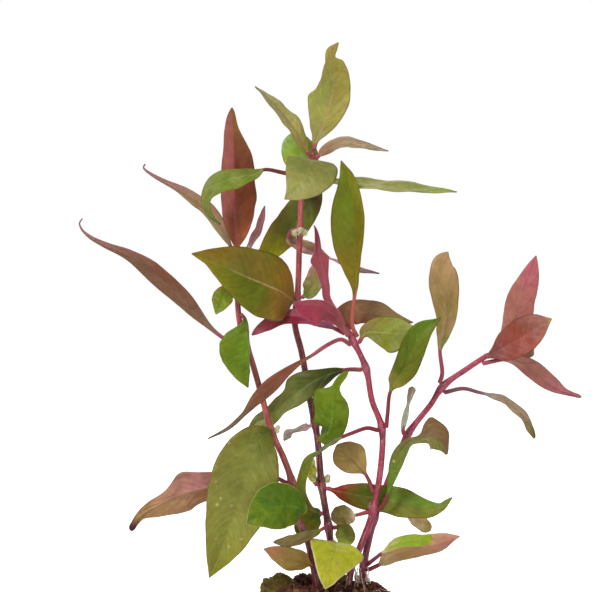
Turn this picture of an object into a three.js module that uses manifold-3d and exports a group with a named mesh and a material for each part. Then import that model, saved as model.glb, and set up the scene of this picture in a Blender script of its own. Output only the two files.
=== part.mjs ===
// A red hygrophila as it is sold for planting: four leafy stems rooted in a plug of growing medium.
// Millimetres, +Z up. The origin is the centre of the plug's flat underside, and -Y is the plant's front.
// Every leaf is one closed solid: a thin four-sided section swept along the leaf's own midrib.

import * as THREE from "three";
import { mergeVertices } from "three/addons/utils/BufferGeometryUtils.js";
import Module from "manifold-3d";

// Driving dimensions

const GAP = 0.3; // clearance between pieces that touch
const PLUG_RADIUS = 21.5;
const PLUG_HEIGHT = 21;
const STEM_RADIUS = 1.15; // at the foot of a stem
const STEM_TIP_RADIUS = 0.85;
const NODE_SWELL = 0.55; // how far a joint of the stem stands out
const NODE_LENGTH = 2.2; // half the length of a swollen joint
const STALK_RADIUS = 0.75; // a leaf's stalk
const LEAF_THICKNESS = 0.9; // at the midrib, thinning to nothing at the edges
const LEAF_TIP = 0.25; // half width where a leaf ends
const LEAF_RINGS = 12;

// Colours

const SKIN = {
  stem: { color: 0x9c4a58, roughness: 0.45, metalness: 0 },
  green: { color: 0x6f8f26, roughness: 0.5, metalness: 0 },
  olive: { color: 0x8d8c3e, roughness: 0.5, metalness: 0 },
  red: { color: 0xa0484f, roughness: 0.5, metalness: 0 },
  brown: { color: 0x86593f, roughness: 0.55, metalness: 0 },
  pale: { color: 0xb5b548, roughness: 0.55, metalness: 0 },
  flower: { color: 0xc9cf9a, roughness: 0.8, metalness: 0 },
  plug: { color: 0x3d2a1c, roughness: 0.95, metalness: 0 },
};

// Stems: the centre line from inside the plug to the crown, and the heights of the swollen joints

const STEMS = {
  tall: {
    line: [
      [2, 4, 14], [2, 4, 26], [1, 3.5, 38], [-1.7, 3, 55], [-3.3, 3.5, 72], [-5.7, 4, 84],
      [-8.3, 4.5, 99], [-10.7, 5, 109.5], [-9.7, 4.5, 120], [-9, 3, 140], [-7.7, 1, 158],
      [-5.2, 0.2, 163.5], [-4.4, -0.2, 167],
    ],
    joints: [41, 55, 76, 117.5, 140, 158.3],
  },
  left: {
    line: [
      [-3, -4, 14], [-4, -5, 26], [-6.7, -5.3, 38.3], [-9.7, -5.6, 45], [-11.7, -6, 57.3], [-14.4, -6, 65],
      [-18.5, -5.6, 74], [-21.7, -5, 85.7], [-25, -4.5, 97.3], [-29, -4, 110], [-30, -2, 133],
    ],
    joints: [31.5, 57, 74, 103, 122, 131],
  },
  middle: {
    line: [
      [7, -2.5, 14], [8, -3, 27], [11, -2.6, 34.7], [14.3, -2.2, 43.3], [15.7, -2, 48], [18, -2, 62],
      [18.3, -2, 74.7], [15, -2.4, 84], [13, -3, 94.7], [8.7, -4, 104], [6, -5, 109],
    ],
    joints: [48, 74.7, 94.7, 104],
  },
  right: {
    line: [
      [12, 4, 14], [12.3, 4, 26.7], [14.3, 4, 37.3], [17, 4.3, 47.3], [20.3, 6, 55.5], [27, 9, 71.2],
      [35, 10.5, 81.6], [39, 11, 87.6], [48, 11.6, 94.1], [55, 12, 98.7],
    ],
    joints: [28, 43.5, 72, 87.5],
  },
};

// Leaves. Each says which stem and height it grows from, and the points that its midrib passes; one with
// no height grows from the very top of its stem. half is half the width, stalk the part of the length that
// is stalk, tail the part that is a drawn-out tip, widest the place of the widest point along the blade,
// and point how slender both ends are. A leaf with an uneven outline gives its sides instead: how far along,
// and the width there on either side of the midrib. face and end are the way that the upper side looks at
// the stalk and at the tip, fold is in degrees along the midrib, and ripple is how far the edge waves.

const LEAVES = {
  tall_crown_upright: {
    stem: "tall", skin: "olive", fold: 14, ripple: 0.4,
    line: [
      [-3.6, 1, 170.4], [-2.3, 1.8, 173.2], [-0.3, 2, 178.2], [1.3, 1.8, 184], [2.2, 1, 190.7],
      [2.2, 0, 196], [2.1, -1, 199.2], [3.7, -2, 203],
    ],
    face: [-0.2, -1, 0.2], end: [0.3, -1, 0.3],
    sides: [
      [0, 0.6, 0.6], [0.08, 1.8, 1.4], [0.15, 3.7, 2.8], [0.3, 6.3, 5.3], [0.4, 7.6, 6.2],
      [0.47, 7.8, 6.5], [0.54, 6, 6.3], [0.65, 4.7, 5.4], [0.75, 4, 4.4], [0.81, 3.4, 3.3],
      [0.85, 3.1, 0.9], [0.92, 2.6, 0.8], [0.97, 1.2, 0.5], [1, 0.2, 0.2],
    ],
  },
  tall_crown_upper_left: {
    stem: "tall", height: 165.5, skin: "olive", half: 3.7, stalk: 0.03, widest: 0.38, point: 1.6, fold: 10,
    line: [
      [-7.2, -1, 167.8], [-9.4, -1.6, 171.9], [-12.3, -2, 176.8], [-16.2, -2.4, 181], [-20.6, -2.8, 185.6],
      [-23.9, -3, 188.4],
    ],
    face: [0.5, -0.65, 0.5], end: [0.5, -0.6, 0.6],
  },
  tall_crown_right: {
    stem: "tall", height: 165.2, skin: "red", half: 3, stalk: 0.03, widest: 0.34, point: 1.4, fold: 10,
    line: [[1.4, 0.2, 168.2], [6.3, 0.8, 169.7], [11, 1, 168.9], [15.5, 0.6, 167.9], [20.4, 0, 167]],
    face: [0, 0.65, 0.75], end: [0.2, 0.6, 0.75], ripple: 0.15,
  },
  tall_crown_front: {
    stem: "tall", height: 162.5, skin: "olive", fold: 4,
    line: [
      [-5.2, -5.6, 163.9], [-5.2, -10.4, 163.6], [-6, -15, 161.4], [-8.2, -18.4, 158], [-11, -20.4, 154.4],
      [-14, -21.4, 151.6],
    ],
    face: [0.2, -0.3, 0.95], end: [0.1, -0.9, 0.45],
    sides: [
      [0, 0.6, 0.6], [0.12, 1, 1], [0.2, 5, 4.4], [0.3, 7.6, 7], [0.42, 9.2, 8], [0.55, 9.8, 7.8],
      [0.7, 8.6, 6.2], [0.83, 5.6, 3.8], [0.93, 2.6, 1.6], [1, 0.2, 0.2],
    ],
  },
  tall_crown_back: {
    stem: "tall", height: 161.5, skin: "green", half: 6, stalk: 0.02, widest: 0.5, point: 1.1, fold: 8,
    line: [[-7, 5, 161.6], [-8.8, 8, 165.2], [-10.2, 9, 169], [-11, 8.5, 173.2]],
    face: [0, -0.9, 0.4], end: [0, -1, 0],
  },
  tall_upper_right: {
    stem: "tall", height: 158.2, skin: "olive", half: 4.1, stalk: 0.1, widest: 0.48, point: 1.6,
    line: [[0, 4, 157], [10, 6, 156], [22, 7, 155], [33, 7.5, 154], [43.5, 7.5, 153.2]],
    face: [0, -0.52, 0.86], end: [0, -0.45, 0.9],
  },
  tall_upper_curled: {
    stem: "tall", height: 158, skin: "green", fold: 12,
    line: [
      [-15, 0.5, 159.8], [-20.7, -2, 160.8], [-24, -4, 159.5], [-28.3, -7, 158.6], [-34.7, -10, 156.8],
      [-39.1, -11, 152.4], [-39.5, -11, 148.6], [-37.8, -9.5, 145], [-35.3, -7.5, 142.8],
    ],
    face: [0.1, -0.8, 0.6], end: [-0.75, -0.65, -0.1], rings: 16,
    sides: [
      [0, 0.5, 0.5], [0.26, 0.5, 0.5], [0.3, 1.4, 1.2], [0.36, 2.6, 2.2], [0.42, 3.2, 2.8],
      [0.494, 4.2, 3.6], [0.58, 4.8, 4.2], [0.64, 4.4, 4.2], [0.7, 3.2, 3.4], [0.763, 2, 2.6],
      [0.838, 1.4, 2], [0.923, 1.7, 1.5], [0.97, 0.8, 0.7], [1, 0.2, 0.2],
    ],
  },
  tall_upper_shaded: {
    stem: "tall", height: 157.2, skin: "green", half: 5.7, stalk: 0.05, widest: 0.42, point: 1.3,
    line: [
      [-5, 6, 155], [-6.4, 10, 149.6], [-10.2, 12.2, 143.8], [-15.4, 13, 138], [-20, 13, 132.4],
      [-24, 12, 127.6],
    ],
    face: [0, -0.9, 0.5], end: [0.2, -1, 0.2],
  },
  tall_middle_narrow: {
    stem: "tall", height: 140.4, skin: "red", half: 3.3, stalk: 0.1, widest: 0.4, point: 1.3, fold: 8,
    line: [
      [-12, 5, 139.6], [-12.6, 7, 137.2], [-7, 8.4, 134.5], [2, 8.8, 130.5], [10, 8.6, 127.2],
      [17.6, 8, 125.8],
    ],
    face: [-0.5, -0.8, 0.6], end: [0, 0.6, 0.8], rings: 16,
  },
  tall_middle_broad: {
    stem: "tall", height: 116.6, skin: "olive", ripple: 0.5,
    line: [
      [-14.5, -3, 119.8], [-20.3, -7, 122.7], [-27.8, -10.5, 126], [-34.4, -12.3, 129.2],
      [-40.2, -13.2, 131.8], [-44.7, -13.5, 133.4],
    ],
    face: [0.1, -0.9, 0.4], end: [0.1, -0.9, 0.35],
    sides: [
      [0, 0.6, 0.6], [0.03, 1.6, 3.6], [0.09, 5.2, 6.6], [0.16, 9.6, 8.8], [0.25, 11.6, 10.6],
      [0.38, 12.2, 10.8], [0.53, 10.4, 10.2], [0.66, 7.4, 8.8], [0.77, 4.6, 6.6], [0.87, 2, 4],
      [0.94, 1.1, 1.9], [1, 0.2, 0.2],
    ],
  },
  tall_middle_small: {
    stem: "tall", height: 118.3, skin: "olive", half: 3.4, stalk: 0.06, widest: 0.45, point: 1.3, fold: 10,
    line: [[-5.9, 2.6, 120], [-4, 3, 124], [-4.7, 3.6, 128.9]],
    face: [-0.3, -0.95, 0.2], rings: 8,
  },
  tall_low_cupped: {
    stem: "tall", height: 71, skin: "green", ripple: 0.4,
    line: [
      [-1.8, -1.2, 71.8], [0.6, -5, 74], [1.8, -6.4, 79], [2, -6.8, 85], [3.4, -7.4, 90], [7, -8, 94.2],
    ],
    face: [0, -0.95, 0.3], end: [-0.4, -0.9, 0.3],
    sides: [
      [0, 0.6, 0.6], [0.1, 2, 2], [0.2, 4.8, 4.2], [0.3, 5.6, 5], [0.42, 5.9, 5.6], [0.56, 6.4, 5.4],
      [0.66, 7, 4.8], [0.7, 6.4, 3.4], [0.73, 3.4, 2.6], [0.77, 1.6, 1.8], [0.82, 1.4, 1.5],
      [0.9, 1.3, 1.4], [0.96, 0.9, 1], [1, 0.2, 0.2],
    ],
  },
  tall_low_grey: {
    stem: "tall", height: 75.8, skin: "brown", fold: 12,
    line: [[-5.8, 2.6, 75.2], [-7.8, 2.4, 74.4], [-10.4, 2, 73.6], [-12.8, 1.6, 72.6], [-14.4, 1.2, 70.2]],
    face: [0, -0.8, 0.6], end: [0.3, -0.9, 0.3], rings: 8,
    sides: [
      [0, 1, 1], [0.2, 1.5, 1.4], [0.4, 0.9, 0.9], [0.6, 0.8, 0.9], [0.75, 1.6, 1.6], [0.86, 1.3, 1.1],
      [1, 0.2, 0.2],
    ],
  },
  tall_foot_long: {
    stem: "tall", height: 53.8, skin: "green", fold: 3, ripple: 0.3,
    line: [
      [2.6, 2.2, 53.4], [6, 1.6, 52.8], [11, 1.2, 51.8], [19.3, 0.4, 50.7], [24.3, -0.4, 49.7],
      [29.3, -0.8, 48.4], [34.3, -1.2, 47.8], [38, -1.4, 48.4], [40, -1.5, 50], [41.8, -1.6, 51.5],
    ],
    face: [0, -1, 0.12], end: [0, -0.9, 0.4],
    sides: [
      [0, 0.5, 0.5], [0.05, 1, 1], [0.1, 2.2, 2.4], [0.17, 3.4, 3.4], [0.285, 4.5, 4.5], [0.36, 4.4, 4.7],
      [0.47, 4.8, 4.6], [0.583, 5, 5], [0.697, 4, 4.2], [0.81, 2.6, 3.2], [0.89, 1.3, 1.7], [0.95, 0.8, 1],
      [1, 0.2, 0.2],
    ],
  },
  tall_foot_small: {
    stem: "tall", height: 55.6, skin: "pale", half: 1.7, stalk: 0.08, widest: 0.5, point: 1.2, fold: 12,
    line: [[-4.6, 0.6, 57.2], [-4.9, -0.4, 61], [-5, -1, 65]],
    face: [-0.3, -0.9, 0.2], rings: 8,
  },
  tall_foot_shaded: {
    stem: "tall", height: 45.6, skin: "green", half: 4.2, stalk: 0.08, widest: 0.5, point: 1,
    line: [[-2.6, 6, 45], [-6, 7, 42.4], [-9.4, 6.6, 37.6]],
    face: [0, -0.95, 0.3], end: [0, -1, 0.1], rings: 8,
  },
  tall_foot_folded: {
    stem: "tall", height: 42.5, skin: "olive", half: 2.3, stalk: 0.3, widest: 0.55, point: 1.3, fold: 12,
    line: [[0.2, -2.8, 42], [-5, -7.8, 39.8], [-12, -9.6, 37.6], [-17.8, -10.6, 37.4]],
    face: [0.2, -0.6, 0.75], end: [0, -0.8, 0.5],
  },
  tall_foot_yellow: {
    stem: "tall", height: 36.4, skin: "pale", ripple: 0.3,
    line: [[2.6, -4, 36.6], [2.8, -9, 35.8], [2, -13.6, 32.6], [0.8, -16.2, 28], [-0.7, -17, 22.6]],
    face: [0.2, -0.5, 0.85], end: [0, -1, 0.1],
    sides: [
      [0, 0.5, 0.5], [0.15, 0.7, 0.7], [0.25, 3.5, 5.4], [0.35, 6, 8], [0.42, 8, 8.8], [0.51, 10, 8.2],
      [0.6, 9, 7.2], [0.72, 6.4, 5.8], [0.83, 3.8, 4], [0.9, 2.7, 2.7], [0.95, 1.5, 1.4], [1, 0.2, 0.2],
    ],
  },
  tall_foot_short: {
    stem: "tall", height: 40.6, skin: "green", half: 3.5, stalk: 0.08, widest: 0.5, point: 1, fold: 8,
    line: [[3.9, 2.2, 41], [6, 1.4, 38.8], [6.2, 0.6, 34.8]],
    face: [0.2, -0.9, 0.3], rings: 8,
  },
  left_crown_upright: {
    stem: "left", skin: "brown", fold: 9,
    line: [
      [-30.2, -1.2, 139], [-30.6, -0.6, 147], [-30.8, 0, 156], [-30.9, 0.4, 165], [-31.1, 0.4, 173],
      [-31.6, 0, 181.4],
    ],
    face: [0.25, 1, 0], end: [0.2, 1, 0],
    sides: [
      [0, 0.6, 0.6], [0.04, 2, 1.6], [0.08, 3.4, 2.4], [0.2, 6, 4.3], [0.285, 6.7, 4.8], [0.35, 7.3, 5],
      [0.475, 6.9, 4.9], [0.577, 6.7, 4.6], [0.68, 5.7, 4], [0.766, 3.8, 3.6], [0.816, 2.6, 3.4],
      [0.87, 1.6, 2.9], [0.92, 1.2, 2.3], [0.97, 0.8, 1.2], [1, 0.2, 0.2],
    ],
  },
  left_crown_hooked: {
    stem: "left", height: 131, skin: "red", fold: 6,
    line: [
      [-32.5, 2.6, 136], [-36.6, 4.6, 143], [-40.4, 5.4, 147.9], [-44, 5.4, 150.6], [-48.4, 5.2, 153.6],
      [-54, 4.8, 156.6], [-59, 4.2, 159.4], [-61.2, 4, 161.4], [-60.6, 4, 162.6],
    ],
    face: [0.4, 0.8, 0.5], end: [0.3, 0.8, 0.5], rings: 14,
    sides: [
      [0, 0.5, 0.5], [0.1, 0.6, 0.6], [0.2, 2, 2], [0.34, 2.9, 2.9], [0.46, 3, 3], [0.55, 2.5, 2.5],
      [0.66, 1.8, 1.8], [0.78, 1.1, 1.1], [0.88, 0.7, 0.7], [0.95, 0.4, 0.4], [1, 0.2, 0.2],
    ],
  },
  left_crown_mauve: {
    stem: "left", height: 131.6, skin: "red", half: 1.4, stalk: 0.1, widest: 0.5, point: 1.3, fold: 12,
    line: [[-25.4, 1, 136], [-22.6, 2.2, 141.4], [-20.7, 2.6, 148.6]],
    face: [-0.3, 0.9, 0.2], rings: 8,
  },
  left_crown_drooping: {
    stem: "left", height: 122.4, skin: "green", fold: 8,
    line: [[-32.4, -2.4, 122.4], [-34.2, -2, 118.8], [-35.6, -2.4, 115.6], [-36.9, -2.8, 112.8]],
    face: [-0.3, -0.9, 0.3], end: [-0.2, -1, 0], rings: 10,
    sides: [
      [0, 0.5, 0.5], [0.1, 0.7, 0.7], [0.2, 2.4, 2.4], [0.4, 3.4, 3.6], [0.6, 3.2, 3.6], [0.8, 1.9, 2.2],
      [0.93, 0.8, 1], [1, 0.2, 0.2],
    ],
  },
  left_upper_folded: {
    stem: "left", height: 112.8, skin: "green", fold: 45,
    line: [[-26.9, -6.6, 111], [-26.2, -8, 105.5], [-25.9, -8.4, 98], [-26.2, -8, 88.7]],
    face: [-0.72, -0.69, 0], ripple: 0.2,
    sides: [
      [0, 0.5, 0.5], [0.08, 0.6, 0.8], [0.14, 1.8, 2.4], [0.18, 3, 3.8], [0.25, 5.2, 7], [0.38, 7.6, 9.5],
      [0.51, 8.4, 10.3], [0.64, 7.8, 9.7], [0.79, 5.8, 7.2], [0.9, 3.6, 4.4], [0.97, 1.3, 1.5],
      [1, 0.2, 0.2],
    ],
  },
  left_upper_long: {
    stem: "left", height: 102.6, skin: "brown", fold: 6,
    line: [
      [-34.7, -2, 104.9], [-38.3, -1, 107.7], [-43, 0.4, 112.3], [-47.7, 1.4, 117], [-53.7, 2.2, 122.6],
      [-60, 2.6, 127.9], [-66.3, 2.5, 132.2], [-74, 1.8, 135.7], [-79, 0.8, 138.4], [-81.7, 0.2, 141],
      [-82.4, 0, 143], [-81.4, 0, 144.5],
    ],
    face: [0.3, 0.9, 0.4], end: [0.3, 0.85, 0.5], rings: 16,
    sides: [
      [0, 0.5, 0.5], [0.08, 0.6, 0.6], [0.18, 1.1, 1.1], [0.28, 2.5, 2.5], [0.41, 3.9, 3.9],
      [0.54, 3.9, 3.9], [0.66, 2.7, 2.7], [0.79, 1.5, 1.5], [0.9, 0.7, 0.7], [0.96, 0.3, 0.3],
      [1, 0.2, 0.2],
    ],
  },
  left_middle_broad: {
    stem: "left", height: 73.6, skin: "olive", ripple: 0.5,
    line: [
      [-19, -8.4, 74], [-21.7, -11.4, 72.2], [-24.3, -13.8, 68], [-26.3, -15.2, 62.5], [-27.7, -15.9, 57.5],
      [-29.7, -16, 50.5], [-32, -15.6, 43.8], [-34.3, -15, 37.1], [-36.7, -14, 31.4], [-39, -13, 26],
    ],
    face: [0.1, -1, 0.3], end: [0.1, -1, 0], rings: 14,
    sides: [
      [0, 0.6, 0.6], [0.04, 3, 3], [0.12, 6.8, 6.8], [0.216, 9.4, 9.4], [0.32, 11, 11],
      [0.41, 11.2, 11.2], [0.54, 10.2, 10.4], [0.66, 8.6, 8.6], [0.786, 6.3, 6.3], [0.896, 3.4, 3.4],
      [0.96, 1.4, 1.4], [1, 0.2, 0.2],
    ],
  },
  left_low_ragged: {
    stem: "left", height: 57.4, skin: "red", fold: 4, ripple: 0.5,
    line: [
      [-17, -5.6, 58.4], [-24, -7, 59], [-32, -8, 57.6], [-39.4, -8.6, 55.6], [-46.8, -9, 54],
      [-51.6, -9, 51.8], [-57.5, -9, 48.9], [-61.8, -9.2, 46.2], [-65.2, -9.5, 41.2],
    ],
    face: [0, 0.92, 0.35], end: [0, 0.9, 0.4], rings: 16,
    sides: [
      [0, 0.5, 0.5], [0.2, 0.6, 0.6], [0.28, 2, 1.8], [0.36, 4, 3.4], [0.45, 5.4, 4.6], [0.53, 6.4, 5.5],
      [0.595, 7.2, 6.8], [0.64, 5.4, 7], [0.7, 3.7, 6.4], [0.76, 3.1, 5], [0.81, 2.9, 3.9],
      [0.86, 2.2, 2.5], [0.9, 1.6, 1.6], [0.95, 1.3, 1.1], [0.985, 1.2, 1], [1, 0.4, 0.4],
    ],
  },
  left_foot_round: {
    stem: "left", height: 47, skin: "green", ripple: 0.4,
    line: [
      [-8.6, -12.4, 48.6], [-12, -16.6, 50], [-17, -20.6, 50.2], [-21.7, -22.6, 48.5], [-26.6, -23.6, 45.2],
    ],
    face: [0.1, -0.98, 0.2],
    sides: [
      [0, 0.5, 0.5], [0.08, 0.6, 0.6], [0.15, 2.2, 2], [0.22, 4.2, 4], [0.31, 5.8, 5.6], [0.39, 6.6, 6.8],
      [0.5, 7.4, 7.8], [0.6, 7.7, 8.1], [0.7, 7.3, 7.4], [0.79, 6.1, 5.8], [0.88, 4.2, 3.5],
      [0.95, 2.3, 1.5], [1, 0.2, 0.2],
    ],
  },
  left_foot_tan: {
    stem: "left", height: 29, skin: "brown", fold: 5,
    line: [[-5, -9.4, 29.6], [-9, -10.4, 31], [-14, -11, 32.4], [-18, -11, 34.1], [-21, -10.8, 35.2]],
    face: [0, 0.9, 0.4], rings: 10,
    sides: [
      [0, 0.5, 0.5], [0.16, 0.7, 0.7], [0.28, 3.2, 3.2], [0.4, 4.2, 4.4], [0.55, 4.4, 4.4],
      [0.68, 3.8, 3.6], [0.82, 2.8, 2.4], [0.93, 1.3, 1], [1, 0.2, 0.2],
    ],
  },
  middle_crown_crimson: {
    stem: "middle", skin: "red", fold: 10, ripple: 0.15,
    line: [
      [4.2, -4.8, 112.4], [1.5, -4.4, 115.6], [-0.1, -4.2, 118.6], [-0.4, -4, 121.8], [-1.3, -4, 125.8],
      [-1.8, -4, 128.8], [-2.7, -4, 131.4], [-3, -4, 134.1], [-3.2, -3.9, 137.4], [-3.7, -3.8, 140.7],
      [-4.3, -3.8, 142.4],
    ],
    face: [-0.2, -0.95, 0.3], end: [0.2, -0.95, 0.2], rings: 16,
    sides: [
      [0, 0.6, 0.6], [0.16, 1, 1], [0.3, 1.3, 1.3], [0.4, 1.45, 1.45], [0.48, 1.7, 1.7], [0.58, 2.3, 2.4],
      [0.635, 3, 3.2], [0.665, 3.2, 3.4], [0.7, 2.3, 2.9], [0.735, 1.4, 1.4], [0.79, 1.15, 1.15],
      [0.874, 0.9, 0.9], [0.957, 0.5, 0.5], [1, 0.15, 0.15],
    ],
  },
  middle_crown_front: {
    stem: "middle", height: 106.4, skin: "red", ripple: 0.3,
    line: [
      [3, -8, 111.8], [-1.2, -10.8, 115.4], [-5.2, -12.8, 116.1], [-8.3, -14.2, 116.4],
      [-11, -15.2, 117.2],
    ],
    face: [0.1, -0.9, 0.4], end: [0, -0.9, 0.4],
    sides: [
      [0, 0.6, 0.6], [0.15, 1.3, 1.1], [0.3, 2.6, 1.8], [0.42, 3.6, 2.4], [0.5, 4.4, 2.6], [0.6, 5.4, 2.4],
      [0.7, 6.9, 2.2], [0.75, 7.3, 2.1], [0.8, 6, 2], [0.88, 4.3, 1.6], [0.95, 2.4, 1], [1, 0.2, 0.2],
    ],
  },
  middle_crown_left: {
    stem: "middle", height: 107, skin: "red", half: 3.2, stalk: 0.1, widest: 0.5, point: 1.3, fold: 8,
    line: [
      [-0.8, -3.4, 109.6], [-7.5, -2.4, 111.6], [-12.4, -2.2, 111.9], [-17, -2.2, 110.6],
      [-21, -2.4, 108.6], [-25, -2.6, 105.8],
    ],
    face: [0, -0.75, 0.65], end: [0.2, -0.75, 0.65],
  },
  middle_crown_upright: {
    stem: "middle", height: 104.4, skin: "olive", fold: 9,
    line: [
      [8.5, -3.8, 108.6], [9, -3.4, 117.4], [9.6, -3, 122.4], [9.5, -2.2, 128], [9.2, -1, 137.3],
      [8.5, -0.2, 149.3], [7, -0.5, 157], [4.7, -1.5, 163.8],
    ],
    face: [0.1, -1, 0.1], end: [0.3, -1, 0.1], rings: 14,
    sides: [
      [0, 0.6, 0.6], [0.2, 0.55, 0.5], [0.25, 0.9, 0.6], [0.295, 2, 0.9], [0.345, 3.5, 1.1],
      [0.39, 4.7, 1.5], [0.455, 6.5, 2], [0.55, 8, 3], [0.645, 8.4, 3.6], [0.765, 7.3, 3.4],
      [0.855, 4.7, 2.9], [0.915, 2.8, 2.3], [0.955, 1.6, 1.3], [1, 0.2, 0.2],
    ],
  },
  middle_crown_brown: {
    stem: "middle", height: 107, skin: "brown",
    line: [[6, 0.6, 110.8], [10.4, 3.2, 112.6], [16.4, 4.4, 112.2], [22.6, 4.6, 110.6], [28.8, 4.2, 109.6]],
    face: [0, -0.8, 0.6],
    sides: [
      [0, 0.6, 0.6], [0.08, 2.6, 2.4], [0.2, 4.6, 4], [0.4, 5.4, 4.6], [0.58, 5, 4.2], [0.75, 3.4, 3],
      [0.9, 1.4, 1.4], [1, 0.2, 0.2],
    ],
  },
  middle_crown_right: {
    stem: "middle", height: 103, skin: "olive", ripple: 0.3,
    line: [[13, -6.6, 106.8], [19, -7.4, 106.8], [26, -7.8, 106.4], [32, -7.6, 106.6]],
    face: [0.1, -0.95, 0.3],
    sides: [
      [0, 0.5, 0.5], [0.07, 0.6, 0.6], [0.15, 2.2, 1.2], [0.29, 4.8, 3], [0.4, 5.6, 4.8], [0.53, 5.8, 6.8],
      [0.62, 5.6, 6.6], [0.72, 4.8, 5], [0.85, 3, 3], [0.94, 1.4, 1.4], [1, 0.2, 0.2],
    ],
  },
  middle_crown_arched: {
    stem: "middle", height: 103.6, skin: "brown",
    line: [
      [4.6, -7.4, 104.6], [0, -10, 102.9], [-5, -11.4, 99.6], [-9.8, -11.8, 96.6], [-16.2, -12, 91.8],
      [-22.8, -11.6, 85.2], [-27.6, -11, 80], [-33, -10, 75.2], [-39.4, -9, 71.8],
    ],
    face: [-0.4, 0.6, 0.7], end: [-0.5, 0.8, 0.3], rings: 16,
    sides: [
      [0, 0.5, 0.5], [0.23, 0.55, 0.55], [0.325, 1.2, 1.2], [0.416, 2.4, 2.4], [0.52, 3.5, 3.5],
      [0.608, 3.3, 3.3], [0.69, 2.2, 2.2], [0.757, 1.2, 1.2], [0.82, 1, 1], [0.9, 0.7, 0.7],
      [0.96, 0.4, 0.4], [1, 0.2, 0.2],
    ],
  },
  middle_upper_wavy: {
    stem: "middle", height: 94.8, skin: "green", fold: 4, ripple: 0.6,
    line: [
      [7, -1.2, 94.2], [1, -1, 92.8], [-7, -1.4, 88.8], [-13.4, -0.6, 83.6], [-19, 0.6, 79],
      [-26.2, 1, 74.2],
    ],
    face: [0.1, -1, 0.12], end: [0, -0.9, 0.5], rings: 16,
    sides: [
      [0, 0.5, 0.5], [0.12, 0.55, 0.6], [0.18, 1.2, 1.4], [0.3, 3.2, 2.8], [0.4, 4.2, 4.6],
      [0.46, 4.4, 5.4], [0.53, 4.2, 5.6], [0.585, 4, 3.8], [0.64, 3.4, 3.2], [0.7, 2.9, 3.2],
      [0.77, 3.4, 2.8], [0.83, 3.8, 2.7], [0.9, 2.6, 2.6], [0.96, 1.3, 1.5], [1, 0.2, 0.2],
    ],
  },
  middle_fork_green: {
    stem: "middle", height: 74.9, skin: "green", fold: 5, ripple: 0.3,
    line: [
      [20.2, -4.6, 80], [20.8, -6.8, 86.4], [22.4, -9, 90.4], [25.4, -11, 95.2], [28, -12.4, 101],
      [30.8, -13.2, 106.6], [37.4, -13.4, 112.2],
    ],
    face: [-0.2, -0.95, 0.2], end: [-0.1, -0.95, 0.3], rings: 14,
    sides: [
      [0, 0.5, 0.5], [0.29, 0.55, 0.55], [0.34, 1.3, 1.3], [0.376, 2.4, 2.6], [0.43, 3.2, 3.6],
      [0.51, 3.8, 4.4], [0.6, 4.1, 4.5], [0.7, 4.2, 4.3], [0.8, 4, 3.8], [0.88, 2.9, 2.5],
      [0.94, 1.4, 1.3], [1, 0.2, 0.2],
    ],
  },
  middle_fork_twisted: {
    stem: "middle", height: 74.3, skin: "green", half: 2.8, stalk: 0.3, widest: 0.42, point: 1.2, fold: 8,
    line: [
      [13.4, -6, 75], [8.7, -9.4, 73.8], [4, -11.6, 72], [-1.4, -12.8, 68.8], [-6, -12.6, 64.4],
      [-8.2, -11.6, 58], [-8, -11, 52.8], [-5.4, -10, 48.8], [-2.6, -9.6, 47],
    ],
    face: [-0.3, 0.75, 0.6], end: [-0.6, -0.8, 0], ripple: 0.2, rings: 18,
  },
  middle_low_round: {
    stem: "middle", height: 53, skin: "brown", fold: 4, ripple: 0.3,
    line: [[14.2, 0.8, 56.6], [12.6, 1.4, 59.4], [9.4, 1.4, 63], [6, 0.8, 66.4], [3.4, -0.2, 69]],
    face: [0.2, 0.92, 0.3], end: [0.2, 0.92, 0.2],
    sides: [
      [0, 0.6, 0.6], [0.28, 0.55, 0.55], [0.36, 1, 1], [0.45, 3, 3.2], [0.55, 4.6, 5], [0.65, 5.6, 6],
      [0.75, 5.8, 6], [0.86, 4.8, 4.8], [0.94, 3, 2.8], [1, 0.5, 0.5],
    ],
  },
  middle_low_strap: {
    stem: "middle", height: 47.6, skin: "green", fold: 8, ripple: 0.25,
    line: [
      [19.4, -4.2, 50], [20.7, -4.6, 54.2], [21.7, -5, 58.3], [23, -5.4, 63.3], [24.7, -5.8, 67.3],
      [27.3, -6, 70.3], [30.7, -6.4, 71.3], [34, -6.8, 72.3], [36.7, -7, 71.6], [39, -7.6, 68.6],
      [39.7, -8, 66.4],
    ],
    face: [-0.6, -0.6, 0.4], end: [0.3, -0.9, 0.3], rings: 18,
    sides: [
      [0, 0.5, 0.5], [0.09, 0.55, 0.55], [0.2, 0.9, 0.9], [0.3, 1.7, 1.9], [0.42, 2.5, 2.7],
      [0.52, 2.3, 2.5], [0.62, 1.4, 1.5], [0.68, 1.3, 1.3], [0.73, 2, 1.8], [0.765, 4.4, 2.6],
      [0.79, 6.6, 3.6], [0.82, 5.8, 4.6], [0.86, 4.8, 5], [0.91, 2.8, 3.8], [0.95, 1.5, 2.2],
      [1, 0.4, 0.4],
    ],
  },
  middle_low_short: {
    stem: "middle", height: 46, skin: "olive", half: 4, stalk: 0.34, widest: 0.5, point: 1, fold: 8,
    line: [[9, -3.6, 45.6], [6, -4.6, 45.6], [1.4, -5.6, 44.6]],
    face: [0, -0.8, 0.6], rings: 10,
  },
  right_crown_upright: {
    stem: "right", skin: "red", half: 5, stalk: 0.04, widest: 0.44, point: 1.5,
    line: [
      [60.2, 12.4, 102.4], [63.2, 13, 107], [64.4, 13, 111.4], [65.4, 13, 117], [67.8, 13, 123],
      [70.4, 12.5, 131.6],
    ],
    face: [0, -1, 0.15], end: [0, -1, 0.1],
  },
  right_crown_broad: {
    stem: "right", height: 97.8, skin: "red", ripple: 0.3,
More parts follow.
